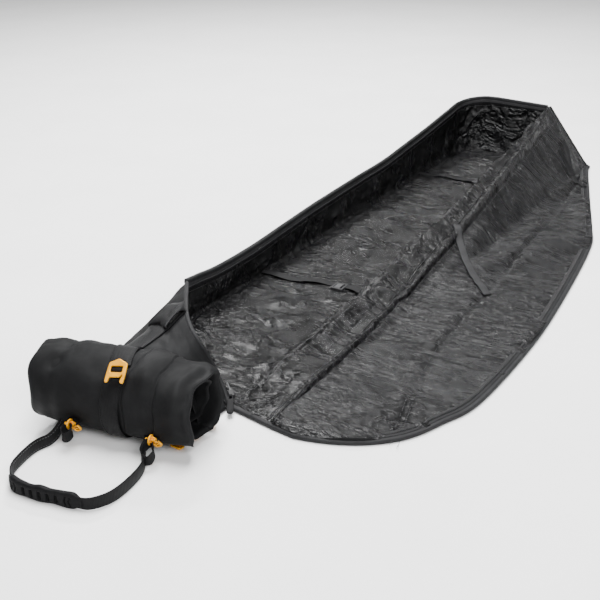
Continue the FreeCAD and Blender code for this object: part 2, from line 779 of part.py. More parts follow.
# ---------------------------------------------------------------- straps inside
def strip(label, start, length, wide, thick, height):
    """Webbing lying flat along Y."""
    box = doc.addObject("Part::Box", label)
    box.setExpression("Length", wide.text)
    box.setExpression("Width", length.text)
    box.setExpression("Height", thick.text)
    box.setExpression(".Placement.Base.x", (start[0] - wide * 0.5).text)
    box.setExpression(".Placement.Base.y", as_size(start[1]).text)
    box.setExpression(".Placement.Base.z", as_size(height).text)
    return keep(box, label)


def ski_strap(name, place_alias, side):
    """A strap across the floor, its ladder buckle and the buckle's cam lever."""
    wide = size("ski_strap_wide")
    thick = size("ski_strap_thick")
    inside = half_width - laminate - size("zip_thick")
    low = -inside
    strip("ski_strap_" + name, (along(place_alias), low), inside * 2, wide, thick, laminate)
    high = number("buckle_high")
    frame_wide = number("buckle_wide")
    frame_long = number("buckle_long")
    rail = number("buckle_rail")
    heel = number("lever_heel")
    lift = (laminate + thick + size("buckle_lift")).value
    place = Placement(Vector(along(place_alias).value, side, lift), Rotation())
    frame = Part.makeBox(frame_wide, frame_long, high, Vector(-frame_wide / 2, -frame_long / 2, 0))
    window = Part.makeBox(frame_wide - 2 * rail, frame_long - 2 * rail, high,
                          Vector(rail - frame_wide / 2, rail - frame_long / 2, 0))
    bar = Part.makeBox(frame_wide, number("buckle_bar"), number("buckle_bar_high"),
                       Vector(-frame_wide / 2, -frame_long / 2 + rail, 0))
    own_shape("%s_buckle" % name, frame.cut(window).fuse(bar).removeSplitter(), place)
    gap = number("fit_gap")
    swing = number("lever_swing")
    lever = Part.makeBox(frame_wide - 2 * rail - 2 * gap, frame_long - 2 * rail - gap - swing - heel,
                         number("lever_thick"),
                         Vector(rail + gap - frame_wide / 2, rail + gap + heel - frame_long / 2,
                                high - number("lever_thick")))
    own_shape("%s_lever" % name, lever, place)


def pole_straps():
    """Loops on the lid's outer panel that hold a pair of poles."""
    thin = size("ski_strap_thick")
    gap = number("break_gap")
    out = size("pole_band_out")
    inner = break_point(number("pole_band_at")).y - gap
    strip("pole_band", (along("pole_band_at"), -out), as_size(round(inner + out.value, 3)),
          size("pole_band_wide"), thin, laminate)
    for index, name in enumerate(("near", "far")):
        length = size(("pole_tie_long", "pole_tie_short")[index])
        inner = break_point(number("pole_tie_at") + index * number("pole_tie_step")).y - gap
        start = (along("pole_tie_at") + size("pole_tie_step") * index,
                 as_size(round(inner - length.value, 3)))
        strip("pole_tie_" + name, start, length, size("pole_tie_wide"), thin, laminate)


def build():
    floor()
    left_wall()
    end_wall()
    rim_trim()
    right_wall()
    right_flap()
    lid_inner()
    lid_outer()
    lid_edge()
    tail_roll()
    roll_straps()
    roll_hook()
    hook_loops()
    hood()
    anchors()
    spare_anchors()
    handle()
    zip_parts()
    zip_pull()
    ski_strap("mid", "mid_strap_at", -70)
    ski_strap("far", "far_strap_at", -60)
    pole_straps()


def write_parts():
    doc.recompute()
    for item in doc.Objects:
        if "Invalid" in item.State or "Error" in item.State:
            raise RuntimeError("%s failed: %s" % (item.Label, item.State))
    for feature in nodes:
        shape = feature.Shape
        if shape.isNull() or not shape.isValid() or shape.Volume <= 0:
            raise RuntimeError("%s has no sound solid" % feature.Label)
    os.makedirs("parts", exist_ok=True)
    for feature in nodes:
        feature.Shape.exportStep("parts/%s.step" % feature.Label)
    print("%d parts written" % len(nodes))


build()
write_parts()
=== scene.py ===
"""Looks of the roll-up ski bag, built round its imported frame. Lengths are in metres."""
import json
import math

import bpy
import numpy as np
from mathutils import Matrix, Vector
from mathutils.bvhtree import BVHTree


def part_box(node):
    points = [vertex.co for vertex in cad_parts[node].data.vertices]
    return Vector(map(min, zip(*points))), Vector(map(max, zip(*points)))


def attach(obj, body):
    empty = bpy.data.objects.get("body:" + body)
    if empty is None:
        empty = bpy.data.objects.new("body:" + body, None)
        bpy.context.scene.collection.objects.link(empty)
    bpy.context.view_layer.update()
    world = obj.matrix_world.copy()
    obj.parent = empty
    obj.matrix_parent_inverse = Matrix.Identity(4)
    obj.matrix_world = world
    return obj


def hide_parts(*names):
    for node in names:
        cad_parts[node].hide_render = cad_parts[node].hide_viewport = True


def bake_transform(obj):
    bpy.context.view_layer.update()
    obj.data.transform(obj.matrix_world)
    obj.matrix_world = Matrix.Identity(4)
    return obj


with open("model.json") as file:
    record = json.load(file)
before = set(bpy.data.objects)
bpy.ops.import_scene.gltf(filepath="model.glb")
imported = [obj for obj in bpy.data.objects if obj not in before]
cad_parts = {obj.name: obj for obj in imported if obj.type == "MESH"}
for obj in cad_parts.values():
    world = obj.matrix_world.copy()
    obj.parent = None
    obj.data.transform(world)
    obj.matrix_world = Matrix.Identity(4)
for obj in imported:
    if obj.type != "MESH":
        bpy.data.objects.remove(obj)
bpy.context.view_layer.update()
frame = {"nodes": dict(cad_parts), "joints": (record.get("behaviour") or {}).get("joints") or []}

# ---------------------------------------------------------------- places from the frame
joints = {joint["name"]: joint for joint in frame["joints"]}
FLAP_HINGE = np.array(joints["right_flap_fold"]["pos_m"])
RIDGE_HINGE = np.array(joints["lid_ridge_fold"]["pos_m"])
NEAR = FLAP_HINGE[0]
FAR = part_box("floor_shell")[1][0]
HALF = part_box("floor_shell")[1][1]
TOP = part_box("end_rim_binding")[1][2]
CORNER = np.array([FAR, -HALF, TOP])
BREAK_WAY = joints["lid_break_fold"]["axis"]
BREAK_FAR = np.array([
    FAR, RIDGE_HINGE[1] + (FAR - RIDGE_HINGE[0]) * (BREAK_WAY[1] / BREAK_WAY[0]), 0.0])

PAD = 0.010             # floor, walls and lid: shell, foam and lining together
EDGE_PAD = 0.005        # the same where the layers are sewn together
COLUMNS = 440           # steps along the bag
GROUND_GAP = 0.0006


# ---------------------------------------------------------------- shader groups
def put(tree, kind, values=None, **settings):
    """A node with its settings; a value is a number, or a socket to link from."""
    node = tree.nodes.new(kind)
    for name, setting in settings.items():
        setattr(node, name, setting)
    for name, value in (values or {}).items():
        if isinstance(value, bpy.types.NodeSocket):
            tree.links.new(value, node.inputs[name])
        else:
            node.inputs[name].default_value = value
    return node


def new_group(name, inputs, outputs):
    tree = bpy.data.node_groups.new(name, "ShaderNodeTree")
    for label, kind, value in inputs:
        socket = tree.interface.new_socket(name=label, in_out="INPUT", socket_type=kind)
        if value is not None:
            socket.default_value = value
    for label, kind in outputs:
        tree.interface.new_socket(name=label, in_out="OUTPUT", socket_type=kind)
    entry = tree.nodes.new("NodeGroupInput")
    leave = tree.nodes.new("NodeGroupOutput")
    return tree, entry.outputs, leave.inputs


def math_node(tree, operation, first, second=0.0, third=0.0):
    return put(tree, "ShaderNodeMath", {0: first, 1: second, 2: third},
               operation=operation).outputs[0]


def weave_group():
    """Over-and-under threads: height, and a mask of the low gaps between them, where the colour is
    darkened as painted shade.
    """
    tree, given, out = new_group(
        "plain_weave",
        [("Vector", "NodeSocketVector", None), ("Threads", "NodeSocketFloat", 900.0)],
        [("Height", "NodeSocketFloat"), ("Gaps", "NodeSocketFloat")])
    scaled = put(tree, "ShaderNodeVectorMath", {0: given["Vector"], "Scale": given["Threads"]},
                 operation="SCALE").outputs[0]
    axes = put(tree, "ShaderNodeSeparateXYZ", {0: scaled}).outputs
    warp = math_node(tree, "SINE", math_node(tree, "ADD", axes[0], axes[2]))
    weft = math_node(tree, "SINE", math_node(tree, "ADD", axes[1], axes[2]))
    height = math_node(tree, "MULTIPLY", warp, weft)
    tree.links.new(math_node(tree, "MULTIPLY_ADD", height, 0.5, 0.5), out["Height"])
    # the gaps mask is painted shade: it darkens the colour at the low points between threads
    tree.links.new(math_node(tree, "LESS_THAN", height, -0.55), out["Gaps"])
    return tree


def crinkle_group():
    """Sharp creases of a thin coated fabric, at two sizes."""
    tree, given, out = new_group(
        "crinkle", [("Vector", "NodeSocketVector", None), ("Scale", "NodeSocketFloat", 20.0),
                    ("Stretch", "NodeSocketVector", (1.0, 1.0, 1.0))],
        [("Height", "NodeSocketFloat"), ("Patches", "NodeSocketFloat")])
    pulled = put(tree, "ShaderNodeVectorMath", {0: given["Vector"], 1: given["Stretch"]},
                 operation="MULTIPLY").outputs[0]
    large = put(tree, "ShaderNodeTexNoise", {"Vector": pulled, "Scale": given["Scale"],
                                             "Detail": 4.0, "Roughness": 0.55, "Distortion": 1.4})
    fold = math_node(tree, "ABSOLUTE", math_node(tree, "SUBTRACT", large.outputs[0], 0.5))
    fine_scale = math_node(tree, "MULTIPLY", given["Scale"], 3.4)
    fine = put(tree, "ShaderNodeTexNoise", {"Vector": pulled, "Scale": fine_scale,
                                            "Detail": 3.0, "Roughness": 0.6, "Distortion": 0.8})
    small = math_node(tree, "ABSOLUTE", math_node(tree, "SUBTRACT", fine.outputs[0], 0.5))
    total = math_node(tree, "MULTIPLY_ADD", small, 0.45, fold)
    tree.links.new(math_node(tree, "SUBTRACT", 1.0, total), out["Height"])
    tree.links.new(large.outputs[0], out["Patches"])
    return tree


def ripstop_group():
    """The raised grid of thicker threads in ripstop."""
    tree, given, out = new_group(
        "ripstop_grid", [("Vector", "NodeSocketVector", None), ("Cell", "NodeSocketFloat", 0.005)],
        [("Lines", "NodeSocketFloat")])
    axes = put(tree, "ShaderNodeSeparateXYZ", {0: given["Vector"]}).outputs
    lines = []
    for first, second in ((axes[0], axes[2]), (axes[1], axes[2])):
        place = math_node(tree, "DIVIDE", math_node(tree, "ADD", first, second), given["Cell"])
        part = math_node(tree, "ABSOLUTE", math_node(tree, "SUBTRACT",
                                                     math_node(tree, "FRACT", place), 0.5))
        lines.append(math_node(tree, "LESS_THAN", part, 0.07))
    tree.links.new(math_node(tree, "MAXIMUM", lines[0], lines[1]), out["Lines"])
    return tree


def edge_wear_and_glint_group():
    """A lighter tint on sharp edges, standing for rubbing on most finishes and for a painted glint
    on the gold, and slow variation over the surface.
    """
    tree, given, out = new_group(
        "rubbed_edges", [("Vector", "NodeSocketVector", None), ("Scale", "NodeSocketFloat", 30.0),
                         ("Sharp", "NodeSocketFloat", 0.52)],
        [("Edges", "NodeSocketFloat"), ("Clouds", "NodeSocketFloat")])
    pointed = put(tree, "ShaderNodeNewGeometry").outputs["Pointiness"]
    high = math_node(tree, "ADD", given["Sharp"], 0.06)
    edge = put(tree, "ShaderNodeMapRange", {"Value": pointed, "From Min": given["Sharp"],
                                            "From Max": high}).outputs[0]
    clouds = put(tree, "ShaderNodeTexNoise", {"Vector": given["Vector"], "Scale": given["Scale"],
                                              "Detail": 5.0, "Roughness": 0.6})
    tree.links.new(math_node(tree, "MULTIPLY", edge, clouds.outputs[0]), out["Edges"])
    tree.links.new(clouds.outputs[0], out["Clouds"])
    return tree


GROUPS = {"weave": weave_group(), "crinkle": crinkle_group(), "ripstop": ripstop_group(),
          "wear": edge_wear_and_glint_group()}


class Finish:
    """A material under construction: its tree, its coordinates and its surface shader."""

    def __init__(self, name, roughness, **plain):
        self.material = bpy.data.materials.new(name)
        self.material.use_nodes = True
        self.tree = self.material.node_tree
        self.shader = self.tree.nodes["Principled BSDF"]
        self.place = put(self.tree, "ShaderNodeTexCoord").outputs["Object"]
        self.shader.inputs["Roughness"].default_value = roughness
        for label, value in plain.items():
            self.shader.inputs[label.replace("_", " ")].default_value = value

    def group(self, name, vector=None, **values):
        node = put(self.tree, "ShaderNodeGroup", node_tree=GROUPS[name])
        self.tree.links.new(vector or self.place, node.inputs["Vector"])
        for label, value in values.items():
            node.inputs[label].default_value = value
        return node.outputs

    def colour(self, mask, low, high, spread=(0.35, 0.65)):
        ramp = put(self.tree, "ShaderNodeMapRange", {"Value": mask, "From Min": spread[0],
                                                     "From Max": spread[1]})
        mix = put(self.tree, "ShaderNodeMix", data_type="RGBA")
        self.tree.links.new(ramp.outputs[0], mix.inputs["Factor"])
        mix.inputs[6].default_value = (*low, 1.0)
        mix.inputs[7].default_value = (*high, 1.0)
        self.paint(mix.outputs[2])
        return mix.outputs[2]

    def paint(self, socket):
        self.tree.links.new(socket, self.shader.inputs["Base Color"])

    def over(self, below, mask, tint):
        """Tint laid over the colour below where the mask is high."""
        mix = put(self.tree, "ShaderNodeMix", data_type="RGBA")
        self.tree.links.new(mask, mix.inputs["Factor"])
        self.tree.links.new(below, mix.inputs[6])
        mix.inputs[7].default_value = (*tint, 1.0)
        self.paint(mix.outputs[2])
        return mix.outputs[2]

    def rough(self, mask, low, high):
        ramp = put(self.tree, "ShaderNodeMapRange",
                   {"Value": mask, "From Min": 0.3, "From Max": 0.7, "To Min": low, "To Max": high})
        self.tree.links.new(ramp.outputs[0], self.shader.inputs["Roughness"])

    def bump(self, *layers):
        """Each layer is (height, distance in metres, strength)."""
        normal = None
        for height, distance, strength in layers:
            node = put(self.tree, "ShaderNodeBump", {"Height": height, "Distance": distance,
                                                     "Strength": strength})
            if normal:
                self.tree.links.new(normal, node.inputs["Normal"])
            normal = node.outputs["Normal"]
        self.tree.links.new(normal, self.shader.inputs["Normal"])
        return self.material


# ---------------------------------------------------------------- materials
def outer_polyester():
    finish = Finish("outer_polyester", 0.75, Specular_IOR_Level=0.12)
    weave = finish.group("weave", Threads=2400.0)
    folds = finish.group("crinkle", Scale=9.0)
    wear = finish.group("wear", Scale=14.0, Sharp=0.53)
    base = finish.colour(wear["Clouds"], (0.0036, 0.0037, 0.0040), (0.0070, 0.0072, 0.0077))
    base = finish.over(base, wear["Edges"], (0.018, 0.018, 0.019))
    # painted shade: the low gaps between threads are darkened in the colour
    finish.over(base, weave["Gaps"], (0.0030, 0.0030, 0.0034))
    finish.rough(folds["Patches"], 0.62, 0.82)
    return finish.bump((folds["Height"], 0.004, 0.35), (weave["Height"], 0.0004, 0.35))


def tub_ripstop():
    finish = Finish("tub_ripstop", 0.3, Specular_IOR_Level=0.32, Coat_Weight=0.03,
                    Coat_Roughness=0.15)
    crinkle = finish.group("crinkle", Scale=9.0, Stretch=(1.5, 0.55, 0.8))
    fine = finish.group("crinkle", Scale=30.0, Stretch=(1.3, 0.6, 1.0))
    grid = finish.group("ripstop", Cell=0.006)
    # the black is the fabric's own; its lighter and darker patches follow the creases' noise and
    # are painted sheen and shade
    base = finish.colour(crinkle["Patches"], (0.0012, 0.0012, 0.0014), (0.0044, 0.0044, 0.0048))
    finish.over(base, grid["Lines"], (0.009, 0.009, 0.0095))
    finish.rough(crinkle["Patches"], 0.17, 0.34)
    return finish.bump((crinkle["Height"], 0.070, 1.0), (fine["Height"], 0.010, 1.0),
                       (grid["Lines"], 0.0003, 0.5))


def lid_satin():
    finish = Finish("lid_satin", 0.30, Specular_IOR_Level=0.32)
    gathers = finish.group("crinkle", Scale=11.0, Stretch=(1.9, 0.40, 0.8))
    small = finish.group("crinkle", Scale=34.0, Stretch=(1.6, 0.35, 0.8))
    fine = finish.group("ripstop", Cell=0.005)
    # the black is the fabric's own; its lighter and darker patches follow the gathers' noise and
    # are painted sheen and shade
    base = finish.colour(gathers["Patches"], (0.0020, 0.0020, 0.0023), (0.0130, 0.0130, 0.0140))
    finish.over(base, fine["Lines"], (0.017, 0.017, 0.018))
    finish.rough(gathers["Patches"], 0.20, 0.36)
    return finish.bump((gathers["Height"], 0.075, 1.0), (small["Height"], 0.011, 1.0),
                       (fine["Lines"], 0.0003, 0.5))


def ribbed_binding():
    finish = Finish("ribbed_binding", 0.7, Specular_IOR_Level=0.2)
    weave = finish.group("weave", Threads=1500.0)
    wear = finish.group("wear", Scale=40.0, Sharp=0.52)
    base = finish.colour(wear["Clouds"], (0.008, 0.008, 0.009), (0.015, 0.015, 0.016))
    # painted shade: the low gaps between threads are darkened in the colour
    finish.over(base, weave["Gaps"], (0.003, 0.003, 0.0035))
    return finish.bump((weave["Height"], 0.0007, 0.6))


def strap_webbing():
    finish = Finish("strap_webbing", 0.62, Specular_IOR_Level=0.12)
    weave = finish.group("weave", Threads=1800.0)
    wear = finish.group("wear", Scale=60.0, Sharp=0.52)
    base = finish.colour(wear["Clouds"], (0.0036, 0.0036, 0.0040), (0.0068, 0.0068, 0.0074))
    # painted shade: the low gaps between threads are darkened in the colour
    base = finish.over(base, weave["Gaps"], (0.0020, 0.0020, 0.0024))
    finish.over(base, wear["Edges"], (0.014, 0.014, 0.015))
    return finish.bump((weave["Height"], 0.0006, 0.7))


def clouded_and_edged_finish(finish, scale, sharp, clouds, edge_wear_and_glint_tint, rough, grain):
    """Cloudy colour, a lighter tint on sharp edges (rubbing, and on the gold a painted glint) and a
    fine grain, for a plain moulded or metal finish.
    """
    wear = finish.group("wear", Scale=scale, Sharp=sharp)
    base = finish.colour(wear["Clouds"], *clouds)
    if edge_wear_and_glint_tint:
        finish.over(base, wear["Edges"], edge_wear_and_glint_tint)
    if rough:
        finish.rough(wear["Clouds"], *rough)
    return finish.bump((wear["Clouds"], *grain))


def coil_plastic():
    finish = Finish("coil_plastic", 0.35, Specular_IOR_Level=0.2)
    return clouded_and_edged_finish(finish, 90.0, 0.51, ((0.010, 0.010, 0.011), (0.020, 0.020, 0.021)),
                       None, (0.28, 0.45), (0.0002, 0.3))


def sewing_thread():
    finish = Finish("sewing_thread", 0.35, Specular_IOR_Level=0.6)
    return clouded_and_edged_finish(finish, 120.0, 0.51, ((0.030, 0.030, 0.032), (0.060, 0.060, 0.063)),
                       None, None, (0.0002, 0.3))


def gold_alloy():
    finish = Finish("gold_alloy", 0.34, Metallic=0.35, Specular_IOR_Level=0.2)
    # the brighter gold on sharp edges is a painted glint, not rubbing
    return clouded_and_edged_finish(finish, 70.0, 0.515, ((0.78, 0.33, 0.004), (0.88, 0.39, 0.008)),
                       (0.95, 0.50, 0.06), (0.28, 0.42), (0.0003, 0.25))


def moulded_rubber():
    finish = Finish("moulded_rubber", 0.6, Specular_IOR_Level=0.06)
    return clouded_and_edged_finish(finish, 110.0, 0.52, ((0.0045, 0.0045, 0.0050), (0.0080, 0.0080, 0.0086)),
                       (0.016, 0.016, 0.017), (0.5, 0.7), (0.0004, 0.4))


def dark_zinc():
    finish = Finish("dark_zinc", 0.36, Metallic=0.05, Specular_IOR_Level=0.12)
    return clouded_and_edged_finish(finish, 90.0, 0.515, ((0.005, 0.005, 0.0055), (0.010, 0.010, 0.011)),
                       (0.020, 0.020, 0.021), (0.35, 0.5), (0.0002, 0.2))


def moulded_plastic():
    finish = Finish("moulded_plastic", 0.42, Specular_IOR_Level=0.12)
    return clouded_and_edged_finish(finish, 100.0, 0.52, ((0.011, 0.011, 0.012), (0.018, 0.018, 0.019)),
                       (0.06, 0.06, 0.062), (0.34, 0.5), (0.0003, 0.3))


OUTER = outer_polyester()
TUB_LINING = tub_ripstop()
LID_LINING = lid_satin()
BINDING = ribbed_binding()
WEBBING = strap_webbing()
COIL = coil_plastic()
THREAD = sewing_thread()
GOLD = gold_alloy()
RUBBER = moulded_rubber()
ZINC = dark_zinc()
PLASTIC = moulded_plastic()


# ---------------------------------------------------------------- mesh tools
def ease(value):
    """Smooth step of a value from 0 to 1."""
    value = np.clip(value, 0.0, 1.0)
    return value * value * (3.0 - 2.0 * value)


def ripple(across, along, seed, cells_across, cells_along):
    """Smooth noise from -1 to 1 where both places run from 0 to 1."""
    lattice = np.random.RandomState(seed).uniform(-1, 1, (cells_across + 2, cells_along + 2))
    first = np.clip(across, 0, 1) * cells_across
    second = np.clip(along, 0, 1) * cells_along
    row, column = first.astype(int), second.astype(int)
    right, up = ease(first - row), ease(second - column)
    low = lattice[row, column] * (1 - up) + lattice[row, column + 1] * up
    high = lattice[row + 1, column] * (1 - up) + lattice[row + 1, column + 1] * up
    return low * (1 - right) + high * right


def grid_normals(grid):
    normals = np.cross(np.gradient(grid, axis=0), np.gradient(grid, axis=1))
    length = np.linalg.norm(normals, axis=2, keepdims=True)
    return normals / np.maximum(length, 1e-12)


def grid_faces(rows, columns, start=0, round_rows=False, round_columns=False, flip=False):
    row = np.arange(rows if round_rows else rows - 1)
    column = np.arange(columns if round_columns else columns - 1)
    row, column = np.meshgrid(row, column, indexing="ij")
    after_row, after_column = (row + 1) % rows, (column + 1) % columns
    faces = np.stack([row * columns + column, row * columns + after_column,
                      after_row * columns + after_column, after_row * columns + column], -1)
    faces = faces.reshape(-1, 4) + start
    return faces[:, ::-1] if flip else faces


def new_piece(name, points, faces, materials, which=None, smooth=True):
    mesh = bpy.data.meshes.new(name)
    mesh.from_pydata(np.asarray(points, float).reshape(-1, 3).tolist(), [],
                     [list(face) for face in faces])
    for material in materials:
        mesh.materials.append(material)
    if which is not None:
        mesh.polygons.foreach_set("material_index", np.asarray(which, np.int32))
    mesh.polygons.foreach_set("use_smooth", [smooth] * len(mesh.polygons))
    mesh.validate()
    mesh.update()
    piece = bpy.data.objects.new(name, mesh)
    bpy.context.scene.collection.objects.link(piece)
    return piece


def padded_grid(name, middle, thick, materials, top_relief=0.0, bottom_relief=0.0, which=None):
    """A closed pad round a grid: lining above, shell below, sewn shut at its edges."""
    rows, columns = middle.shape[:2]
    normals = grid_normals(middle)
    thick = np.broadcast_to(thick, (rows, columns))[..., None]
    lining, shell = (np.broadcast_to(relief, (rows, columns))[..., None]
                     for relief in (top_relief, bottom_relief))
    above = middle + normals * (thick / 2 + lining)
    below = middle - normals * (thick / 2 + shell)
    below[..., 2] = np.maximum(below[..., 2], GROUND_GAP)
    above[..., 2] = np.maximum(above[..., 2], below[..., 2] + 0.001)
    count = rows * columns
    top = grid_faces(rows, columns, flip=True)
    bottom = grid_faces(rows, columns, start=count)
    index = np.arange(count).reshape(rows, columns)
    rim = np.concatenate([index[0, :-1], index[:-1, -1], index[-1, :0:-1], index[:0:-1, 0]])
    after = np.roll(rim, -1)
    side = np.stack([rim, after, after + count, rim + count], -1)
    faces = np.concatenate([top, bottom, side])
    if which is None:
        which = np.zeros(len(top), int)
    kinds = np.concatenate([which, np.full(len(bottom), len(materials) - 1),
                            np.full(len(side), len(materials) - 1)])
    return new_piece(name, np.concatenate([above.reshape(-1, 3), below.reshape(-1, 3)]),
                     faces, materials, kinds)


def path_frames(path, up):
    """Unit tangent, side and up at each point of a path."""
    tangent = np.gradient(path, axis=0)
    tangent /= np.maximum(np.linalg.norm(tangent, axis=1, keepdims=True), 1e-12)
    up = np.broadcast_to(np.asarray(up, float), path.shape)
    side = np.cross(tangent, up)
    side /= np.maximum(np.linalg.norm(side, axis=1, keepdims=True), 1e-12)
    return tangent, side, np.cross(side, tangent)


def tube_faces(rows, columns, closed=False):
    """Faces round a tube's rings, with a cap at each end where it isn't closed on itself."""
    faces = [list(face) for face in grid_faces(rows, columns, round_rows=closed,
                                               round_columns=True)]
    if not closed:
        faces.append(list(range(columns))[::-1])
        faces.append([(rows - 1) * columns + column for column in range(columns)])
    return faces


def sweep(name, path, profile, up, material, closed=False):
    """The profile's (side, up) points carried along the path, capped at its ends."""
    path = np.asarray(path, float)
    _, side, above = path_frames(path, up)
    profile = np.asarray(profile, float)
    points = (path[:, None] + side[:, None] * profile[None, :, :1]
              + above[:, None] * profile[None, :, 1:])
    return new_piece(name, points, tube_faces(*points.shape[:2], closed), [material])


def rounded(wide, high, radius, steps=3):
    """A rounded rectangle's points, centred on the path."""
    points = []
    for turn, (x, y) in enumerate(((1, -1), (1, 1), (-1, 1), (-1, -1))):
        for step in range(steps + 1):
            angle = math.radians(-90 + 90 * turn + 90 * step / steps)
            points.append((x * (wide / 2 - radius) + radius * math.cos(angle),
                           y * (high / 2 - radius) + radius * math.sin(angle)))
    return points


def smooth_path(points, count):
    """Points spaced evenly along a smooth curve through the given ones."""
    points = np.asarray(points, float)
    padded = np.concatenate([[2 * points[0] - points[1]], points, [2 * points[-1] - points[-2]]])
    fine = []
    for index in range(len(points) - 1):
        before, start, end, after = padded[index:index + 4]
        part = np.linspace(0, 1, 24, endpoint=index == len(points) - 2)[:, None]
        fine.append(0.5 * (2 * start + (end - before) * part
                           + (2 * before - 5 * start + 4 * end - after) * part ** 2
                           + (3 * start - before - 3 * end + after) * part ** 3))
    return spaced(np.concatenate(fine), count)


def spaced(path, count):
    length = np.concatenate([[0], np.cumsum(np.linalg.norm(np.diff(path, axis=0), axis=1))])
    wanted = np.linspace(0, length[-1], count)
    return read_off(wanted, length, path)


def read_off(wanted, known, points):
    """The points at wanted places, where their own places are known."""
    return np.stack([np.interp(wanted, known, points[:, axis]) for axis in range(3)], -1)


def relaxed(points, times):
    """Evens out the rows of points between the first and the last, in place."""
    for _ in range(times):
        points[1:-1] = (points[:-2] + 2 * points[1:-1] + points[2:]) / 4
    return points


def shares(rows, columns):
    """Each grid point's place from 0 to 1, down the rows and along the columns."""
    return np.meshgrid(np.linspace(0, 1, rows), np.linspace(0, 1, columns), indexing="ij")


def path_length(path):
    return float(np.linalg.norm(np.diff(path, axis=0), axis=1).sum())


def repeated(name, path, up, size, pitch, material, slant=0.0):
    """Small rounded blocks, one after another along a path: stitches or a zip's coil."""
    count = max(int(path_length(path) / pitch), 2)
    path = spaced(np.asarray(path, float), count)
    up = np.asarray(up, float)
    if up.ndim == 2:
        up = read_off(np.linspace(0, 1, count), np.linspace(0, 1, len(up)), up)
    tangent, side, above = path_frames(path, up)
    if slant:
        tangent, side = tangent + side * slant, side - tangent * slant
    long, wide, high = size
    corner = 0.55
    block = [(a * (1 if c == 0 else corner), b * (1 if c == 0 else corner), c)
             for c in (-1, 0, 1) for a, b in ((-1, -1), (1, -1), (1, 1), (-1, 1))]
    block = np.array(block) * (long / 2, wide / 2, high / 2)
    points = (path[:, None] + tangent[:, None] * block[None, :, :1]
              + side[:, None] * block[None, :, 1:2] + above[:, None] * block[None, :, 2:])
    one = [[0, 3, 2, 1], [8, 9, 10, 11]]
    for ring in (0, 4):
        for step in range(4):
            after = (step + 1) % 4
            one.append([ring + step, ring + after, ring + 4 + after, ring + 4 + step])
    faces = (np.array(one)[None] + 12 * np.arange(count)[:, None, None]).reshape(-1, 4)
    return new_piece(name, points, faces, [material])


def rides(piece, body, slot, *nodes):
    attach(piece, body)
    if nodes:
        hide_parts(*nodes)
    return piece


# ---------------------------------------------------------------- collapsed side and lid
FOOT_ROWS, FLAP_ROWS, INNER_ROWS, OUTER_ROWS = 16, 20, 30, 46
FLAP_SPLIT = FOOT_ROWS + FLAP_ROWS // 2
LID_SPLIT = FOOT_ROWS + FLAP_ROWS + INNER_ROWS // 2
RIDGE_ROW = FOOT_ROWS + FLAP_ROWS
RIDGE_SAG = 0.050       # the collapsed side sinks this far below its straight fold
LID_EDGE = [            # the lid's free edge: distance from the zip's end, and across
    (-0.020, -0.254), (-0.027, -0.296), (-0.010, -0.366), (0.024, -0.429), (0.076, -0.479),
    (0.150, -0.512), (0.262, -0.545), (0.555, -0.553), (0.847, -0.535), (1.159, -0.502),
    (1.300, -0.466), (1.534, -0.394), (1.808, -0.312), (1.870, -0.300)]
LID_SEAM = [            # the lid's own seam, in the same two distances
    (0.0, -0.480), (0.195, -0.429), (0.461, -0.388), (0.717, -0.377), (1.076, -0.362),
    (1.511, -0.334), (1.87, -0.300)]
LID_CROWD = 0.62        # crowds the lid's lines towards its round nose

along = np.linspace(0, 1, COLUMNS)


def between(start, end, parts):
    return start + (end - start) * np.asarray(parts)[..., None]


def lid_edge_line():
    """The lid's free edge on the ground, one point for each column."""
    fine = smooth_path([(NEAR + x, y, PAD / 2) for x, y in LID_EDGE], 1200)
    place = along ** LID_CROWD * (len(fine) - 1)
    return read_off(place, np.arange(len(fine)), fine)


def folded_sheet():
    """The middle surface from the floor's right seam, over both folds, to the lid's edge."""
    foot = between(np.array([NEAR, -HALF + 0.014, 0.006]),
                   np.array([FAR, -HALF + 0.010, 0.006]), along)
    crease = between(FLAP_HINGE, CORNER, along)
    ridge = between(RIDGE_HINGE, CORNER, along)
    fold = between(RIDGE_HINGE, BREAK_FAR, along)
    stations = [foot, crease, ridge, fold, lid_edge_line()]
    rows = []
    for start, end, count in zip(stations, stations[1:], (FOOT_ROWS, FLAP_ROWS, INNER_ROWS,
                                                          OUTER_ROWS)):
        rows += [start + (end - start) * step / count for step in range(count)]
    grid = np.array(rows + [stations[-1]])
    grid[..., 2] = np.maximum(grid[..., 2], PAD / 2 + GROUND_GAP)
    return relaxed(grid, 7)


def sag_share(rows):
    """How much of the ridge's sag each row takes."""
    places = [0, FOOT_ROWS, RIDGE_ROW, RIDGE_ROW + INNER_ROWS, rows - 1]
    return ease(np.interp(np.arange(rows), places, [0.0, 0.45, 1.0, 0.0, 0.0]))


def sink(grid):
    rows = len(grid)
    sag = RIDGE_SAG * np.sin(np.pi * along ** 0.85) ** 1.2
    wave = 1 + 0.25 * ripple(along, along * 0, 5, 7, 1)
    grid[..., 2] -= sag_share(rows)[:, None] * (sag * wave)[None]
    grid[..., 2] = np.maximum(grid[..., 2], PAD / 2 + GROUND_GAP)
    return grid


def seam_depth(grid, seam, width):
    """A groove of depth 1 along a seam given as distances from the zip's end and across."""
    at = np.interp(grid[..., 0] - NEAR, [x for x, _ in seam], [y for _, y in seam])
    return np.exp(-((grid[..., 1] - at) / width) ** 2)


def edge_fade(rows, columns, reach):
    """0 at the grid's edges, rising to 1 over so many steps."""
    row = np.minimum(np.arange(rows), np.arange(rows)[::-1])[:, None] / reach
    column = np.minimum(np.arange(columns), np.arange(columns)[::-1])[None] / reach
    return ease(row) * ease(column)


def row_bump(rows, place, width):
    """1 on a row of the sheet, falling off to both sides."""
    return np.exp(-((np.arange(rows) - place) / width) ** 2)[:, None]


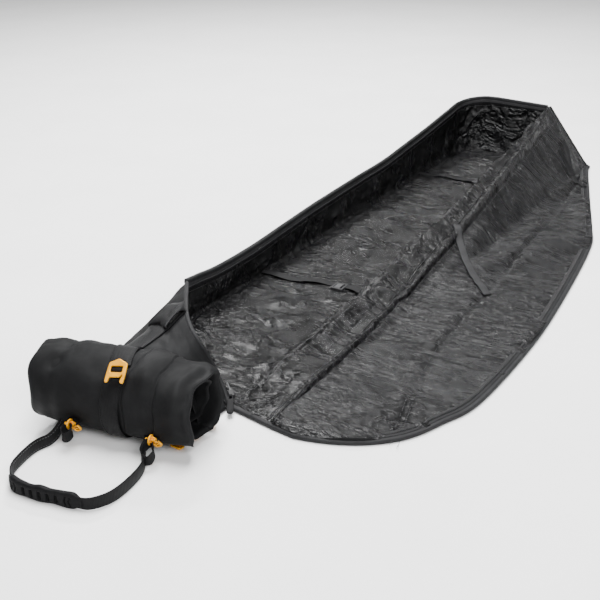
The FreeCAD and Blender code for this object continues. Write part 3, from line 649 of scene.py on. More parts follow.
def lid_relief(grid):
    """Gathers square to the seams, broad puckers, slack folds and the soft tube on the ridge."""
    rows, columns = grid.shape[:2]
    row, place = shares(rows, columns)
    slanted = np.clip(place + 0.05 * (row - 0.5), 0, 1)
    near_seam = 0.35 + np.clip(seam_depth(grid, LID_SEAM, 0.045) + row_bump(rows, RIDGE_ROW + 5, 5)
                               + row_bump(rows, FOOT_ROWS, 5) + row_bump(rows, rows - 1, 7), 0, 1)
    relief = near_seam * (0.0012 * ripple(row, slanted, 11, 10, 170)
                          + 0.0034 * ripple(row, slanted, 12, 7, 74))
    relief += 0.0045 * ripple(row, place, 13, 4, 19)
    lid_only = ease((np.arange(rows) - RIDGE_ROW - 4) / 14.0)[:, None]
    leaning = np.clip(place + 0.10 * row, 0, 1)
    relief += lid_only * (0.003 + 0.0105 * ripple(row, leaning, 14, 5, 10))
    smooth_corner = ease((1 - place) * 9)
    seam = seam_depth(grid, LID_SEAM, 0.008)
    tube = 0.0075 * row_bump(rows, RIDGE_ROW + 1, 2.3)
    grooves = row_bump(rows, RIDGE_ROW + 5.0, 0.9) + row_bump(rows, RIDGE_ROW - 3.0, 0.9)
    grooves = grooves + 0.7 * row_bump(rows, FOOT_ROWS, 0.9)
    relief = relief * smooth_corner * (1 - 0.7 * seam)
    return relief - 0.0060 * seam + (tube - 0.0042 * grooves) * smooth_corner


def fold_blend(piece, name):
    """Works out the fold's axis and the way across it, but only bakes the piece's transform; it
    does not turn the piece.
    """
    joint = joints[name]
    axis = np.array(joint["axis"])
    axis = axis / np.linalg.norm(axis)
    ways = {"right_flap_fold": ((0, 0, 1), RIDGE_HINGE - FLAP_HINGE),
            "lid_ridge_fold": (RIDGE_HINGE - FLAP_HINGE, BREAK_FAR - CORNER),
            "lid_break_fold": (BREAK_FAR - CORNER, (0, -1, 0))}[name]
    across = np.zeros(3)
    for way in ways:
        flat = np.array(way, float) - axis * np.dot(way, axis)
        across += flat / np.linalg.norm(flat)
    across /= np.linalg.norm(across)
    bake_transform(piece)
    return piece


def folds(piece, fold, slot, *nodes):
    """Bakes a piece's transform at a fold and hides the frame's pieces that it replaces."""
    fold_blend(piece, fold)
    if nodes:
        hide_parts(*nodes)
    return piece


SIDE = sink(folded_sheet())
RELIEF = lid_relief(SIDE)
THICK = EDGE_PAD + (PAD - EDGE_PAD) * edge_fade(*SIDE.shape[:2], 3)


def side_part(name, first, last, fold, slot, nodes):
    """One stretch of the folded sheet, from row to row."""
    grid = SIDE[first:last + 1]
    row = np.repeat(np.arange(first, last), COLUMNS - 1)
    which = np.where(row < RIDGE_ROW, 0, 1)
    piece = padded_grid(name, grid, THICK[first:last + 1], [TUB_LINING, LID_LINING, OUTER],
                        top_relief=RELIEF[first:last + 1], which=which)
    return folds(piece, fold, slot, *nodes)


def layers_of(panel):
    return [panel + "_" + layer for layer in ("shell", "foam", "lining")]


def side_and_lid():
    wall = side_part("collapsed_side", 0, FLAP_SPLIT, "right_flap_fold", "body_lining",
                     layers_of("right_wall") + layers_of("right_flap"))
    inner = side_part("lid_inner_panel", FLAP_SPLIT, LID_SPLIT, "lid_ridge_fold", "lid_lining",
                      layers_of("lid_inner"))
    lid = side_part("lid_outer_panel", LID_SPLIT, len(SIDE) - 1, "lid_break_fold", "lid_lining",
                    layers_of("lid_outer"))


BINDING_WIDE, BINDING_HIGH = 0.011, 0.0085
TAPE_WIDE = 0.017
COIL_SIZE, COIL_PITCH = (0.0016, 0.0060, 0.0022), 0.0032
STITCH_SIZE, STITCH_PITCH = (0.0034, 0.0010, 0.0009), 0.0052


def inward(path, distance, up=(0, 0, 1)):
    """The path moved sideways, to its left."""
    _, side, _ = path_frames(path, up)
    return path - side * distance


def lid_trim():
    """Binding, zip tape and coil round the lid's free edge."""
    edge = SIDE[-1].copy()
    edge[:, 2] = BINDING_HIGH / 2 + GROUND_GAP
    edge = spaced(edge, 700)
    binding = sweep("lid_edge_binding", edge, rounded(BINDING_WIDE, BINDING_HIGH, 0.003),
                    (0, 0, 1), BINDING)
    folds(binding, "lid_break_fold", "edge_binding", "lid_binding")
    tape = sweep("lid_zip_tape", inward(edge, 0.012) + (0, 0, 0.0045),
                 rounded(TAPE_WIDE, 0.0012, 0.0005, 1), (0, 0, 1), BINDING)
    folds(tape, "lid_break_fold", "zip_tape")
    coil = repeated("lid_zip_coil", inward(edge, 0.0125) + (0, 0, 0.0058), (0, 0, 1), COIL_SIZE,
                    COIL_PITCH, COIL)
    folds(coil, "lid_break_fold", "zip_tape", "lid_zip")


def over_sheet(xy, first, last):
    """Points lifted on to the sheet's lining, between two rows."""
    grid = SIDE[first:last + 1]
    normals = grid_normals(SIDE)[first:last + 1]
    top = (grid + normals * (THICK[first:last + 1] / 2 + RELIEF[first:last + 1])[..., None])
    top = top.reshape(-1, 3)
    normals = normals.reshape(-1, 3)
    points, ups = [], []
    for x, y in xy:
        nearest = np.argmin((top[:, 0] - x) ** 2 + (top[:, 1] - y) ** 2)
        points.append((x, y, top[nearest, 2]))
        ups.append(normals[nearest])
    return np.array(points), np.array(ups)


def seam_stitches():
    """Stitched lines beside the lid's seam, the ridge and the floor's seam."""
    x = np.linspace(NEAR + 0.03, FAR - 0.12, 420)
    y = np.interp(x - NEAR, [a for a, _ in LID_SEAM], [b for _, b in LID_SEAM])
    for name, offset in (("lid_seam_stitches_a", 0.007), ("lid_seam_stitches_b", -0.007)):
        points, ups = over_sheet(list(zip(x, y + offset)), LID_SPLIT, len(SIDE) - 1)
        stitches = repeated(name, points, ups, STITCH_SIZE, STITCH_PITCH, THREAD)
        folds(stitches, "lid_break_fold", "lid_lining")
    grid = SIDE + grid_normals(SIDE) * (THICK / 2 + RELIEF + 0.0002)[..., None]
    ups = grid_normals(SIDE)
    for name, row, fold, slot in (
            ("ridge_stitches_a", RIDGE_ROW - 4, "lid_ridge_fold", "lid_lining"),
            ("ridge_stitches_b", RIDGE_ROW + 6, "lid_ridge_fold", "lid_lining"),
            ("side_seam_stitches", FOOT_ROWS - 3, "right_flap_fold", "body_lining")):
        stitches = repeated(name, grid[row, 3:-8], ups[row, 3:-8], STITCH_SIZE, STITCH_PITCH,
                            THREAD)
        folds(stitches, fold, slot)


def side_edges():
    """Binding on the side's near edge, the lid's far edge and along the ridge."""
    for name, path, fold in (
            ("side_near_binding", SIDE[FOOT_ROWS - 4:FLAP_SPLIT + 1, 0], "right_flap_fold"),
            ("nose_binding", SIDE[FLAP_SPLIT:LID_SPLIT + 1, 0], "lid_ridge_fold"),
            ("corner_binding", SIDE[FOOT_ROWS - 6:FLAP_SPLIT + 1, -1], "right_flap_fold"),
            ("lid_far_binding", SIDE[FLAP_SPLIT:LID_SPLIT + 1, -1], "lid_ridge_fold"),
            ("lid_foot_binding", SIDE[LID_SPLIT:, -1], "lid_break_fold")):
        moved = np.linalg.norm(np.diff(path, axis=0), axis=1)
        path = path[np.concatenate([[True], moved > 1e-4])]
        up = (1, 0, 0) if path[0][0] > 0 else (0, 0, 1)
        piece = sweep(name, path, rounded(BINDING_WIDE, BINDING_HIGH, 0.003), up, BINDING)
        folds(piece, fold, "edge_binding")


# ---------------------------------------------------------------- tub
CORNER_ROUND = 0.085
WALL_FOOT = 0.006       # the wall's middle surface starts this high
RIM_STITCH_DROP = 0.0235
WALL_ROWS = 24
WALL_STEPS = 430
RIM = [(0.262, 0.100), (0.31, 0.096), (0.385, 0.090), (0.54, 0.091), (0.71, 0.100), (0.92, 0.105),
       (1.195, 0.113), (1.47, 0.138), (1.65, 0.155), (1.79, 0.170), (1.86, 0.182), (1.92, 0.189),
       (2.00, 0.188), (2.13, 0.184)]


def wall_path():
    """The wall's foot in plan: along the left side, round the far corner and across."""
    middle = HALF - PAD / 2
    far = FAR - PAD / 2
    turn = np.radians(np.linspace(90, 0, 16))
    centre = np.array([far - CORNER_ROUND, middle - CORNER_ROUND])
    arc = centre + CORNER_ROUND * np.stack([np.cos(turn), np.sin(turn)], -1)
    plan = np.concatenate([[[NEAR + RIM[0][0], middle]], arc, [[far, -HALF + 0.004]]])
    return spaced(np.concatenate([plan, np.zeros((len(plan), 1))], 1), WALL_STEPS)


def rim_height(path):
    distance = np.concatenate([[0], np.cumsum(np.linalg.norm(np.diff(path, axis=0), axis=1))])
    fine = smooth_path([(a, b, 0) for a, b in RIM], 400)
    return np.interp(distance + RIM[0][0], fine[:, 0], fine[:, 1])


def wall_grid():
    path = wall_path()
    _, side, _ = path_frames(path, (0, 0, 1))
    height = rim_height(path)
    up, place = shares(WALL_ROWS, WALL_STEPS)
    grid = path[None] + np.zeros((WALL_ROWS, 1, 1))
    grid[..., 2] = WALL_FOOT + (height[None] - WALL_FOOT) * up
    tuck = 0.012 * (1 - ease(up / 0.10))
    slack = np.sin(np.pi * up) * (0.005 * ripple(up, place, 21, 2, 14) - 0.002)
    lean = 0.005 * ripple(up, place, 22, 1, 9) * up
    return grid + side[None] * (slack + lean + tuck)[..., None], side


def tub_relief(rows, columns, seed, depth, cells):
    row, place = shares(rows, columns)
    relief = (0.5 * ripple(row, place, seed, 8, cells)
              + 0.35 * ripple(row, place, seed + 1, 14, cells * 2))
    sharp = 1 - np.abs(ripple(row, place, seed + 2, 4, cells // 2)) * 2
    return depth * (relief + 0.8 * sharp) * edge_fade(rows, columns, 3)


WALL, WALL_SIDE = wall_grid()


def walls():
    thick = EDGE_PAD + (PAD - EDGE_PAD) * edge_fade(WALL_ROWS, WALL_STEPS, 2)
    grid = WALL[:, ::-1]
    piece = padded_grid("standing_walls", grid, thick, [TUB_LINING, OUTER],
                        top_relief=tub_relief(WALL_ROWS, WALL_STEPS, 31, 0.0032, 60),
                        bottom_relief=tub_relief(WALL_ROWS, WALL_STEPS, 41, 0.0012, 24))
    rides(piece, "bag_body", "body_lining", *layers_of("left_wall"), *layers_of("end_wall"))


def rim_trim():
    """Binding on the standing rim, with the zip's other half and a stitched line inside it."""
    rim = WALL[-1] + (0, 0, 0.001)
    binding = sweep("rim_binding", rim, rounded(BINDING_WIDE, 0.013, 0.004), (0, 0, 1), BINDING)
    rides(binding, "bag_body", "edge_binding", "left_rim_binding", "end_rim_binding")
    inner = rim + WALL_SIDE * 0.0062 - (0, 0, 0.012)
    tape = sweep("rim_zip_tape", inner, rounded(0.0013, TAPE_WIDE, 0.0005, 1), (0, 0, 1), BINDING)
    rides(tape, "bag_body", "zip_tape", "left_rim_zip")
    coil = repeated("rim_zip_coil", inner + WALL_SIDE * 0.0014, WALL_SIDE,
                    COIL_SIZE, COIL_PITCH, COIL)
    rides(coil, "bag_body", "zip_tape", "end_rim_zip")
    line = rim + WALL_SIDE * 0.0068 - (0, 0, RIM_STITCH_DROP)
    stitches = repeated("rim_stitches", line, WALL_SIDE, STITCH_SIZE, STITCH_PITCH, THREAD)
    rides(stitches, "bag_body", "body_lining")


FLOOR_MIDDLE, FLOOR_THICK = 0.0058, 0.0105


def floor_panel():
    columns, rows = 300, 44
    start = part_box("floor_shell")[0][0]
    x = np.linspace(start + 0.004, FAR - 0.009, columns)
    reach = np.full(columns, HALF - 0.012)
    bend = x > FAR - PAD / 2 - CORNER_ROUND
    run = np.clip(x[bend] - (FAR - PAD / 2 - CORNER_ROUND), 0, CORNER_ROUND)
    reach[bend] -= CORNER_ROUND - np.sqrt(CORNER_ROUND ** 2 - run ** 2)
    y = -HALF + 0.008 + (reach + HALF - 0.008)[None] * np.linspace(0, 1, rows)[:, None]
    grid = np.stack([np.broadcast_to(x, y.shape), y, np.full_like(y, FLOOR_MIDDLE)], -1)
    grid = grid[::-1]
    thick = EDGE_PAD + (FLOOR_THICK - EDGE_PAD) * edge_fade(rows, columns, 2)
    piece = padded_grid("floor_panel", grid, thick, [TUB_LINING, OUTER],
                        top_relief=tub_relief(rows, columns, 51, 0.0036, 50))
    rides(piece, "bag_body", "body_lining", *layers_of("floor"))


side_and_lid()
lid_trim()
seam_stitches()
side_edges()
walls()
rim_trim()
floor_panel()


# ---------------------------------------------------------------- hood
HOOD_BACK = -0.100      # the hood's hidden edge, under the roll
HOOD_THICK = 0.004
HOOD_SAG = 0.010        # how far its middle hangs below straight lines
HOOD_EDGE = [           # free edge: distance from the zip's end, across, height
    (0.268, 0.149, 0.012), (0.269, 0.150, 0.045), (0.268, 0.149, 0.078), (0.261, 0.142, 0.098),
    (0.232, 0.120, 0.108), (0.160, 0.068, 0.121), (0.085, 0.012, 0.130), (0.035, -0.035, 0.130),
    (0.018, -0.066, 0.114), (0.026, -0.086, 0.075), (0.028, -0.102, 0.042), (0.018, -0.122, 0.019),
    (0.004, -0.141, 0.006)]
HOOD_ARCH = [(0.088, 0.010), (0.080, 0.052), (0.056, 0.098), (0.030, 0.119), (-0.010, 0.131),
             (-0.060, 0.131), (-0.095, 0.112), (-0.124, 0.070), (-0.140, 0.032), (-0.146, 0.006)]


def hood_grid(rows=90, columns=120):
    edge = smooth_path([(NEAR + x, y, z) for x, y, z in HOOD_EDGE], columns)
    back = smooth_path([(NEAR + HOOD_BACK, y, z) for y, z in HOOD_ARCH], columns)
    part, across = shares(rows, columns)
    grid = back[None] + (edge - back)[None] * part[..., None]
    slack = np.sin(np.pi * part) * np.sin(np.pi * across)
    grid[..., 2] -= HOOD_SAG * slack * (0.6 + 0.4 * ripple(part, across, 61, 2, 5))
    return grid


def hood():
    grid = hood_grid()
    rows, columns = grid.shape[:2]
    part, across = shares(rows, columns)
    folds = 0.0035 * ripple(part, np.clip(across + 0.15 * part, 0, 1), 62, 3, 11)
    folds += 0.0015 * ripple(part, across, 63, 9, 16)
    folds *= edge_fade(rows, columns, 8)
    thick = EDGE_PAD * 0.6 + (HOOD_THICK - EDGE_PAD * 0.6) * edge_fade(rows, columns, 2)
    shell = padded_grid("tail_hood", grid, thick, [OUTER, OUTER], top_relief=folds,
                        bottom_relief=-folds)
    rides(shell, "bag_body", "outer_fabric", "hood_shell")
    edge = spaced(grid[-1], 240)
    ups = grid_normals(grid)
    up = read_off(np.linspace(0, 1, len(edge)), np.linspace(0, 1, columns), ups[-1])
    binding = sweep("hood_edge_binding", edge, rounded(0.009, 0.007, 0.003), up, BINDING)
    rides(binding, "bag_body", "edge_binding", "hood_binding")
    line = grid[-6] + ups[-6] * 0.0032
    line[:, 2] = np.maximum(line[:, 2], 0.0100)
    tape = sweep("hood_zip_tape", spaced(line, 200), rounded(0.016, 0.0012, 0.0005, 1), up[:200],
                 BINDING)
    rides(tape, "bag_body", "zip_tape")
    coil = repeated("hood_zip_coil", line + ups[-6] * 0.0012, ups[-6], COIL_SIZE, COIL_PITCH, COIL)
    rides(coil, "bag_body", "zip_tape")
    return shell


def tree_of(*pieces_below):
    """One search tree over several pieces' meshes."""
    points, faces = [], []
    for piece in pieces_below:
        start = len(points)
        points += [piece.matrix_world @ vertex.co for vertex in piece.data.vertices]
        faces += [[start + index for index in face.vertices] for face in piece.data.polygons]
    return BVHTree.FromPolygons(points, faces)


def dropped(tree, grid, lift):
    """A grid let down on to what lies below it, lift above the surface."""
    grid = np.array(grid, float)
    for place in np.ndindex(grid.shape[:-1]):
        x, y, z = grid[place]
        hit = tree.ray_cast(Vector((x, y, z + 0.5)), Vector((0, 0, -1)))[0]
        if hit:
            grid[place][2] = hit.z + lift
    return grid


def laid(tree, strips, lift):
    """Strips let down on to what lies below them, each ending where that ends."""
    rows = []
    for strip in strips:
        points = []
        for x, y, z in strip:
            hit = tree.ray_cast(Vector((x, y, z + 0.5)), Vector((0, 0, -1)))[0]
            if hit:
                points.append((x, y, hit.z + lift))
        rows.append(spaced(np.array(points), len(strip)))
    return np.array(rows)


def ribbon_grid(path, wide, strips=9):
    """Rows across a band's width, along a path over the ground."""
    _, side, _ = path_frames(path, (0, 0, 1))
    share = np.linspace(-0.5, 0.5, strips)[:, None, None]
    return path[None] - side[None] * wide * share


HOOD_BAND = [(-0.092, 0.007), (-0.040, 0.013), (0.010, 0.021), (0.070, 0.033), (0.128, 0.046)]
HOOD_BAND_WIDE, HOOD_BAND_THICK = 0.050, 0.0022
BAND_LOOP = [           # the carrying loop on the band: along it, and above it
    (0.000, 0.0035), (0.002, 0.0085), (0.016, 0.0125), (0.048, 0.0150), (0.074, 0.0125),
    (0.092, 0.0060), (0.102, 0.0030)]


def hood_band(tree):
    """The wide band sewn over the hood, with a carrying loop that stands off it."""
    line = smooth_path([(NEAR + x, y, 0.2) for x, y in HOOD_BAND], 110)
    grid = laid(tree, ribbon_grid(line, HOOD_BAND_WIDE), 0.0026)
    relaxed(grid.swapaxes(0, 1), 8)
    band = padded_grid("hood_centre_band", grid[::-1], HOOD_BAND_THICK, [WEBBING, WEBBING])
    rides(band, "bag_body", "webbing", "hood_band")
    middle = grid.mean(0)
    start = np.argmin(np.abs(middle[:, 0] - NEAR - 0.006))
    reach = np.linalg.norm(middle - middle[start], axis=1)
    loop = smooth_path([(along_band, 0.0, high) for along_band, high in BAND_LOOP], 70)
    base = np.stack([read_off(loop[:, 0], reach[start:], strip[start:]) for strip in grid])
    base[..., 2] += loop[None, :, 2]
    grab = padded_grid("hood_grab_loop", base[::-1], HOOD_BAND_THICK, [WEBBING, WEBBING])
    rides(grab, "bag_body", "webbing")


# ---------------------------------------------------------------- rolled tail
ROLL_AT = np.array([NEAR - 0.147, -0.014, 0.0])
ROLL_SKEW = math.radians(11.3)
ROLL_DEEP, ROLL_HIGH = 0.081, 0.0770
ROLL_RIGHT, ROLL_LEFT = -0.166, 0.150
ROLL_TURNS = 2.9
ROLL_PITCH = 0.0165
ROLL_SKIN = 0.0075


def from_roll(local):
    """Depth, place along the roll and height, turned into the bag's own frame."""
    local = np.asarray(local, float)
    cos, sin = math.cos(ROLL_SKEW), math.sin(ROLL_SKEW)
    return np.stack([ROLL_AT[0] + local[..., 0] * cos - local[..., 1] * sin,
                     ROLL_AT[1] + local[..., 0] * sin + local[..., 1] * cos, local[..., 2]], -1)


def roll_ring(angle, inward_by=0.0):
    """The roll's section, a rounded form that lies flat on the ground."""
    power = 0.86
    cos, sin = np.cos(angle), np.sin(angle)
    deep = (ROLL_DEEP - inward_by) * np.sign(cos) * np.abs(cos) ** power
    high = (ROLL_HIGH - inward_by) * np.sign(sin) * np.abs(sin) ** power
    return deep, ROLL_HIGH + high


def roll_relief(turn, share):
    """Slack folds and the two sewn steps on the outer turn."""
    relief = 0.0046 * ripple(turn, share, 71, 9, 7) + 0.0026 * ripple(turn, share, 72, 20, 12)
    relief += 0.0036 * ripple(turn, np.clip(share + 0.1 * turn, 0, 1), 73, 3, 16)
    place = ROLL_RIGHT + (ROLL_LEFT - ROLL_RIGHT) * share
    first = -0.043 + 0.006 * np.sin(turn * 9)
    second = -0.096 + 0.004 * np.sin(turn * 11 + 1)
    step = 0.0028 * (ease((first - place) / 0.003) + 0.7 * ease((second - place) / 0.003))
    groove = -0.0026 * (np.exp(-((place - first) / 0.0018) ** 2)
                        + np.exp(-((place - second) / 0.0018) ** 2))
    return relief + (step + groove) * (turn < 1.05)


def tail_roll():
    turns = np.linspace(0, ROLL_TURNS, 460)[:, None]
    share = np.linspace(0, 1, 170)[None]
    angle = np.radians(250) - 2 * np.pi * turns
    depth = ROLL_PITCH * turns * np.ones_like(share)
    sag = 0.006 * ripple(turns / ROLL_TURNS * np.ones_like(share), share * np.ones_like(turns),
                         74, 12, 3)
    deep, high = roll_ring(angle, depth + sag * (turns > 0.9))
    inner = ease((turns - 0.85) / 0.3)
    right = ROLL_RIGHT - inner * (0.012 * np.sin(turns * 4.1) - 0.012)
    left = ROLL_LEFT - inner * (0.008 + 0.010 * np.sin(turns * 5.3))
    right = right + 0.030 * ease((turns - 1.55) / 0.35) + 0.024 * ease((0.08 - turns) / 0.08)
    right = right + 0.004 * np.sin(angle * 3 + 1) + 0.002 * np.sin(angle * 7)
    left = left + 0.012 * np.sin(angle) + 0.004 * np.sin(angle * 2) + 0.003 * np.sin(angle * 5 + 2)
    along_roll = right + (left - right) * share
    pinch = 0.006 * ease((share - 0.80) / 0.2) + 0.004 * ease((0.16 - share) / 0.16)
    squeeze = 1 - pinch / ROLL_DEEP
    local = np.stack([deep * squeeze, along_roll + 0 * deep,
                      ROLL_HIGH + (high - ROLL_HIGH) * squeeze], -1)
    local[..., 2] *= 1 - 0.085 * ease((0.34 - share) / 0.34)
    local[..., 2] -= local[..., 2].min() - ROLL_SKIN / 2 - GROUND_GAP
    grid = from_roll(local)
    rows, columns = grid.shape[:2]
    relief = roll_relief(turns * np.ones_like(share), share * np.ones_like(turns))
    fade = edge_fade(rows, columns, 5)
    thick = 0.003 + (ROLL_SKIN - 0.003) * edge_fade(rows, columns, 3)
    piece = padded_grid("rolled_tail", grid, thick, [OUTER, OUTER], top_relief=relief * fade,
                        bottom_relief=0.3 * relief * fade)
    rides(piece, "bag_body", "outer_fabric", "tail_roll")
    return piece


def round_roll(tree, first, last, side, count=70, drift=0.0):
    """A path over the roll's surface, between two angles in degrees, and its normals."""
    points, ups = [], []
    for step, angle in enumerate(np.radians(np.linspace(first, last, count))):
        place = side + drift * step / (count - 1)
        centre = Vector(from_roll((0.0, place, ROLL_HIGH)))
        out = Vector(from_roll((math.cos(angle), place, ROLL_HIGH + math.sin(angle)))) - centre
        hit = tree.ray_cast(centre + out * 0.3, -out)[0]
        if hit:
            points.append(hit)
            ups.append(out)
    return relaxed(np.array(points), 6), np.array(ups)


STRAP_SIDE = -0.016


def roll_straps(tree):
    """The band from the hood to the hook, and the ribbed strap that it catches."""
    for name, first, last, wide, lift, drift, node in (
            ("roll_strap_top", 117, 36, 0.041, 0.0032, 0.027, "roll_strap_upper"),
            ("roll_strap_front", 136, 262, 0.036, 0.0026, 0.0, "roll_strap_lower")):
        path, ups = round_roll(tree, first, last, STRAP_SIDE, drift=drift)
        strap = sweep(name, path + ups * lift, rounded(wide, 0.0024, 0.001, 2), ups, WEBBING)
        rides(strap, "bag_body", "webbing", node)
        for edge in (-1, 1):
            side = path_frames(path, ups)[1] * edge * (wide / 2 - 0.003)
            stitches = repeated("%s_stitches_%s" % (name, "ab"[edge > 0]),
                                path + side + ups * (lift + 0.0013), ups, STITCH_SIZE,
                                STITCH_PITCH, WEBBING)
            rides(stitches, "bag_body", "webbing")


# ---------------------------------------------------------------- metal and moulded pieces
def plate(name, outline, holes, thick, bevel, material, place):
    """A flat pressed piece with eased edges: its outline and holes in its own plane."""
    curve = bpy.data.curves.new(name, "CURVE")
    curve.dimensions = "2D"
    curve.fill_mode = "BOTH"
    curve.extrude = thick / 2 - bevel
    curve.bevel_depth = bevel
    curve.bevel_resolution = 2
    curve.offset = -bevel
    for points in [outline] + list(holes):
        spline = curve.splines.new("POLY")
        spline.points.add(len(points) - 1)
        for point, (x, y) in zip(spline.points, points):
            point.co = (x, y, 0, 1)
        spline.use_cyclic_u = True
    holder = bpy.data.objects.new(name + "_line", curve)
    bpy.context.scene.collection.objects.link(holder)
    bpy.context.view_layer.update()
    graph = bpy.context.evaluated_depsgraph_get()
    shape = bpy.data.meshes.new_from_object(holder.evaluated_get(graph))
    bpy.data.objects.remove(holder)
    shape.transform(place)
    shape.materials.clear()
    shape.materials.append(material)
    piece = bpy.data.objects.new(name, shape)
    bpy.context.scene.collection.objects.link(piece)
    return piece


def rounded_corners(points, radius, steps=4):
    """A polygon with each corner taken off by a small curve."""
    points = [Vector(point) for point in points]
    smooth = []
    for index, corner in enumerate(points):
        before, after = points[index - 1], points[(index + 1) % len(points)]
        reach = min(radius, (before - corner).length * 0.45, (after - corner).length * 0.45)
        start = corner + (before - corner).normalized() * reach
        end = corner + (after - corner).normalized() * reach
        for step in range(steps + 1):
            part = step / steps
            smooth.append(start * (1 - part) ** 2 + corner * 2 * part * (1 - part)
                          + end * part ** 2)
    return [tuple(point) for point in smooth]


MM = 0.001


def drawn(points, radius, slim=1.0):
    """An outline drawn in millimetres, made slimmer if need be, with its corners taken off."""
    return rounded_corners([(x * MM * slim, y * MM) for x, y in points], radius)


def middle_of(node):
    low, high = (np.array(corner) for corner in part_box(node))
    return (low + high) / 2


def softened(name, node, bevel, material, body, slot):
    """A stand-in for a rigid CAD piece with its sharp edges eased."""
    piece = bpy.data.objects.new(name, frame["nodes"][node].data.copy())
    bpy.context.scene.collection.objects.link(piece)
    weld = piece.modifiers.new("weld", "WELD")
    weld.merge_threshold = 1e-5
    flat = piece.modifiers.new("flat", "DECIMATE")
    flat.decimate_type = "DISSOLVE"
    flat.angle_limit = math.radians(2)
    edge = piece.modifiers.new("edge", "BEVEL")
    edge.width = bevel
    edge.segments = 2
    edge.limit_method = "ANGLE"
    edge.angle_limit = math.radians(35)
    bpy.context.view_layer.update()
    graph = bpy.context.evaluated_depsgraph_get()
    shape = bpy.data.meshes.new_from_object(piece.evaluated_get(graph))
    piece.modifiers.clear()
    piece.data = shape
    shape.name = name
    shape.materials.clear()
    shape.materials.append(material)
    shape.polygons.foreach_set("use_smooth", [False] * len(shape.polygons))
    rides(piece, body, slot, node)
    return piece


HOOK_LINE = [(-17, -17), (3, -24), (22, -14), (20.5, 10), (18, 24), (10.5, 22.5), (12.5, 13.5),
             (15.5, 8.5), (13.5, 6.5), (8, 11.5), (-13, 10.5), (-15, 20), (-21.5, 21), (-20.5, 5)]
HOOK_WINDOW = [(-12, -10.5), (14, -9.5), (13, 3), (-12.5, 2)]
HOOK_ROUND = 126        # degrees round the roll, up from the side that faces the bag
HOOK_LIFT = 0.0060
HOOK_DROP = 0.0110
HOOK_SHIFT = 0.0050
HOOK_TWIST = 0.20
HOOK_SLIM = 0.86        # its width against its drawn outline


def roll_hook():
    """The gold hook on the roll's strap, its window above and its gated throat below."""
    angle = math.radians(HOOK_ROUND)
    along_roll = Vector(from_roll((0, 1, 0))) - Vector(from_roll((0, 0, 0)))
    out = Vector(from_roll((math.cos(angle), 0, math.sin(angle)))) - Vector(from_roll((0, 0, 0)))
    out.normalize()
    side = -along_roll.normalized()
    down = side.cross(out)
    if down.z > 0:
        down = -down
    side, down = (side * math.cos(HOOK_TWIST) - down * math.sin(HOOK_TWIST),
                  down * math.cos(HOOK_TWIST) + side * math.sin(HOOK_TWIST))
    turn = Matrix((side, down, side.cross(down))).transposed().to_4x4()
    centre = Vector(middle_of("roll_hook")) + out * HOOK_LIFT + down * HOOK_DROP + side * HOOK_SHIFT
    place = Matrix.Translation(centre) @ turn
    outline = drawn(HOOK_LINE, 0.0030, HOOK_SLIM)
    window = drawn(HOOK_WINDOW, 0.0025, HOOK_SLIM)
    hook = plate("closing_hook", outline, [window], 0.0044, 0.0009, GOLD, place)
    rides(hook, "roll_hook", "gold_alloy", "roll_hook")
    loop = np.array([centre + down * d + out * o for d, o in
                     ((-0.024, -0.0030), (-0.013, -0.0025), (-0.004, -0.0015), (0.0, -0.0040))])
    strap = sweep("hook_strap_loop", smooth_path(loop, 24), rounded(0.025, 0.0022, 0.0009, 2),
                  tuple(out), WEBBING)
    rides(strap, "bag_body", "webbing", "strap_loop")


# ---------------------------------------------------------------- carry handle
HANDLE_LINE = [(-0.227, 0.058), (-0.256, 0.056), (-0.294, 0.066), (-0.335, 0.061), (-0.372, 0.048),
               (-0.397, 0.020), (-0.401, -0.018), (-0.394, -0.060), (-0.386, -0.100),
               (-0.378, -0.128), (-0.346, -0.146), (-0.300, -0.147), (-0.255, -0.138),
               (-0.222, -0.118), (-0.200, -0.102)]
GRIP_FROM, GRIP_TO = 0.325, 0.615
WEB_HIGH, WEB_THICK = 0.024, 0.0028
GRIP_HIGH, GRIP_DEEP = 0.0285, 0.0135
END_RISE = 0.020        # the webbing's ends climb this far to the hooks


def handle_path(count=420):
    points = [(NEAR + x, y, WEB_HIGH / 2 + 0.0015) for x, y in HANDLE_LINE]
    path = smooth_path(points, count)
    lift = np.linspace(-1, 1, count)
    path[:, 2] += END_RISE * ease((np.abs(lift) - 0.82) / 0.18)
    return path


def handle_webbing():
    path = handle_path()
    lean = 0.10 * np.sin(np.linspace(0, 9, len(path)))
    up = np.stack([lean, 0.4 * lean, np.ones(len(path))], -1)
    webbing = sweep("handle_strap", path, rounded(WEB_THICK, WEB_HIGH, 0.001, 2), up, WEBBING)
    rides(webbing, "handle", "webbing", "handle_webbing")
    for name, high in (("handle_stitches_low", -0.008), ("handle_stitches_high", 0.008)):
        side = path_frames(path, up)[1]
        for half, start, stop in (("a", 0, 110), ("b", 300, 420)):
            line = (path - side * (WEB_THICK / 2 + 0.0002) + (0, 0, high))[start:stop]
            stitches = repeated("%s_%s" % (name, half), line, -side[start:stop], STITCH_SIZE,
                                STITCH_PITCH, THREAD)
            rides(stitches, "handle", "webbing")


GRIP_SLOTS = (-0.40, -0.20, 0.0, 0.20, 0.40)
GRIP_CHEVRONS = ((-0.70, 1), (-0.60, 1), (0.60, -1), (0.70, -1))     # place and way
SLOT_DEEP = 0.0048


def grip_hollows(place, level):
    """How deep the grip is cut at each place along it and level up it, from 0 to 1."""
    hollows = np.zeros((len(place), len(level)))
    for centre in GRIP_SLOTS:
        row = np.exp(-((place - centre) / 0.040) ** 6)[:, None]
        hollows += row * np.exp(-((level + 0.05) / 0.50) ** 6)[None]
    for centre, way in GRIP_CHEVRONS:
        chevron = place[:, None] - centre + way * 0.07 * np.abs(level)[None]
        hollows += 0.7 * np.exp(-(chevron / 0.020) ** 4) * (np.abs(level) < 0.62)[None]
    return hollows


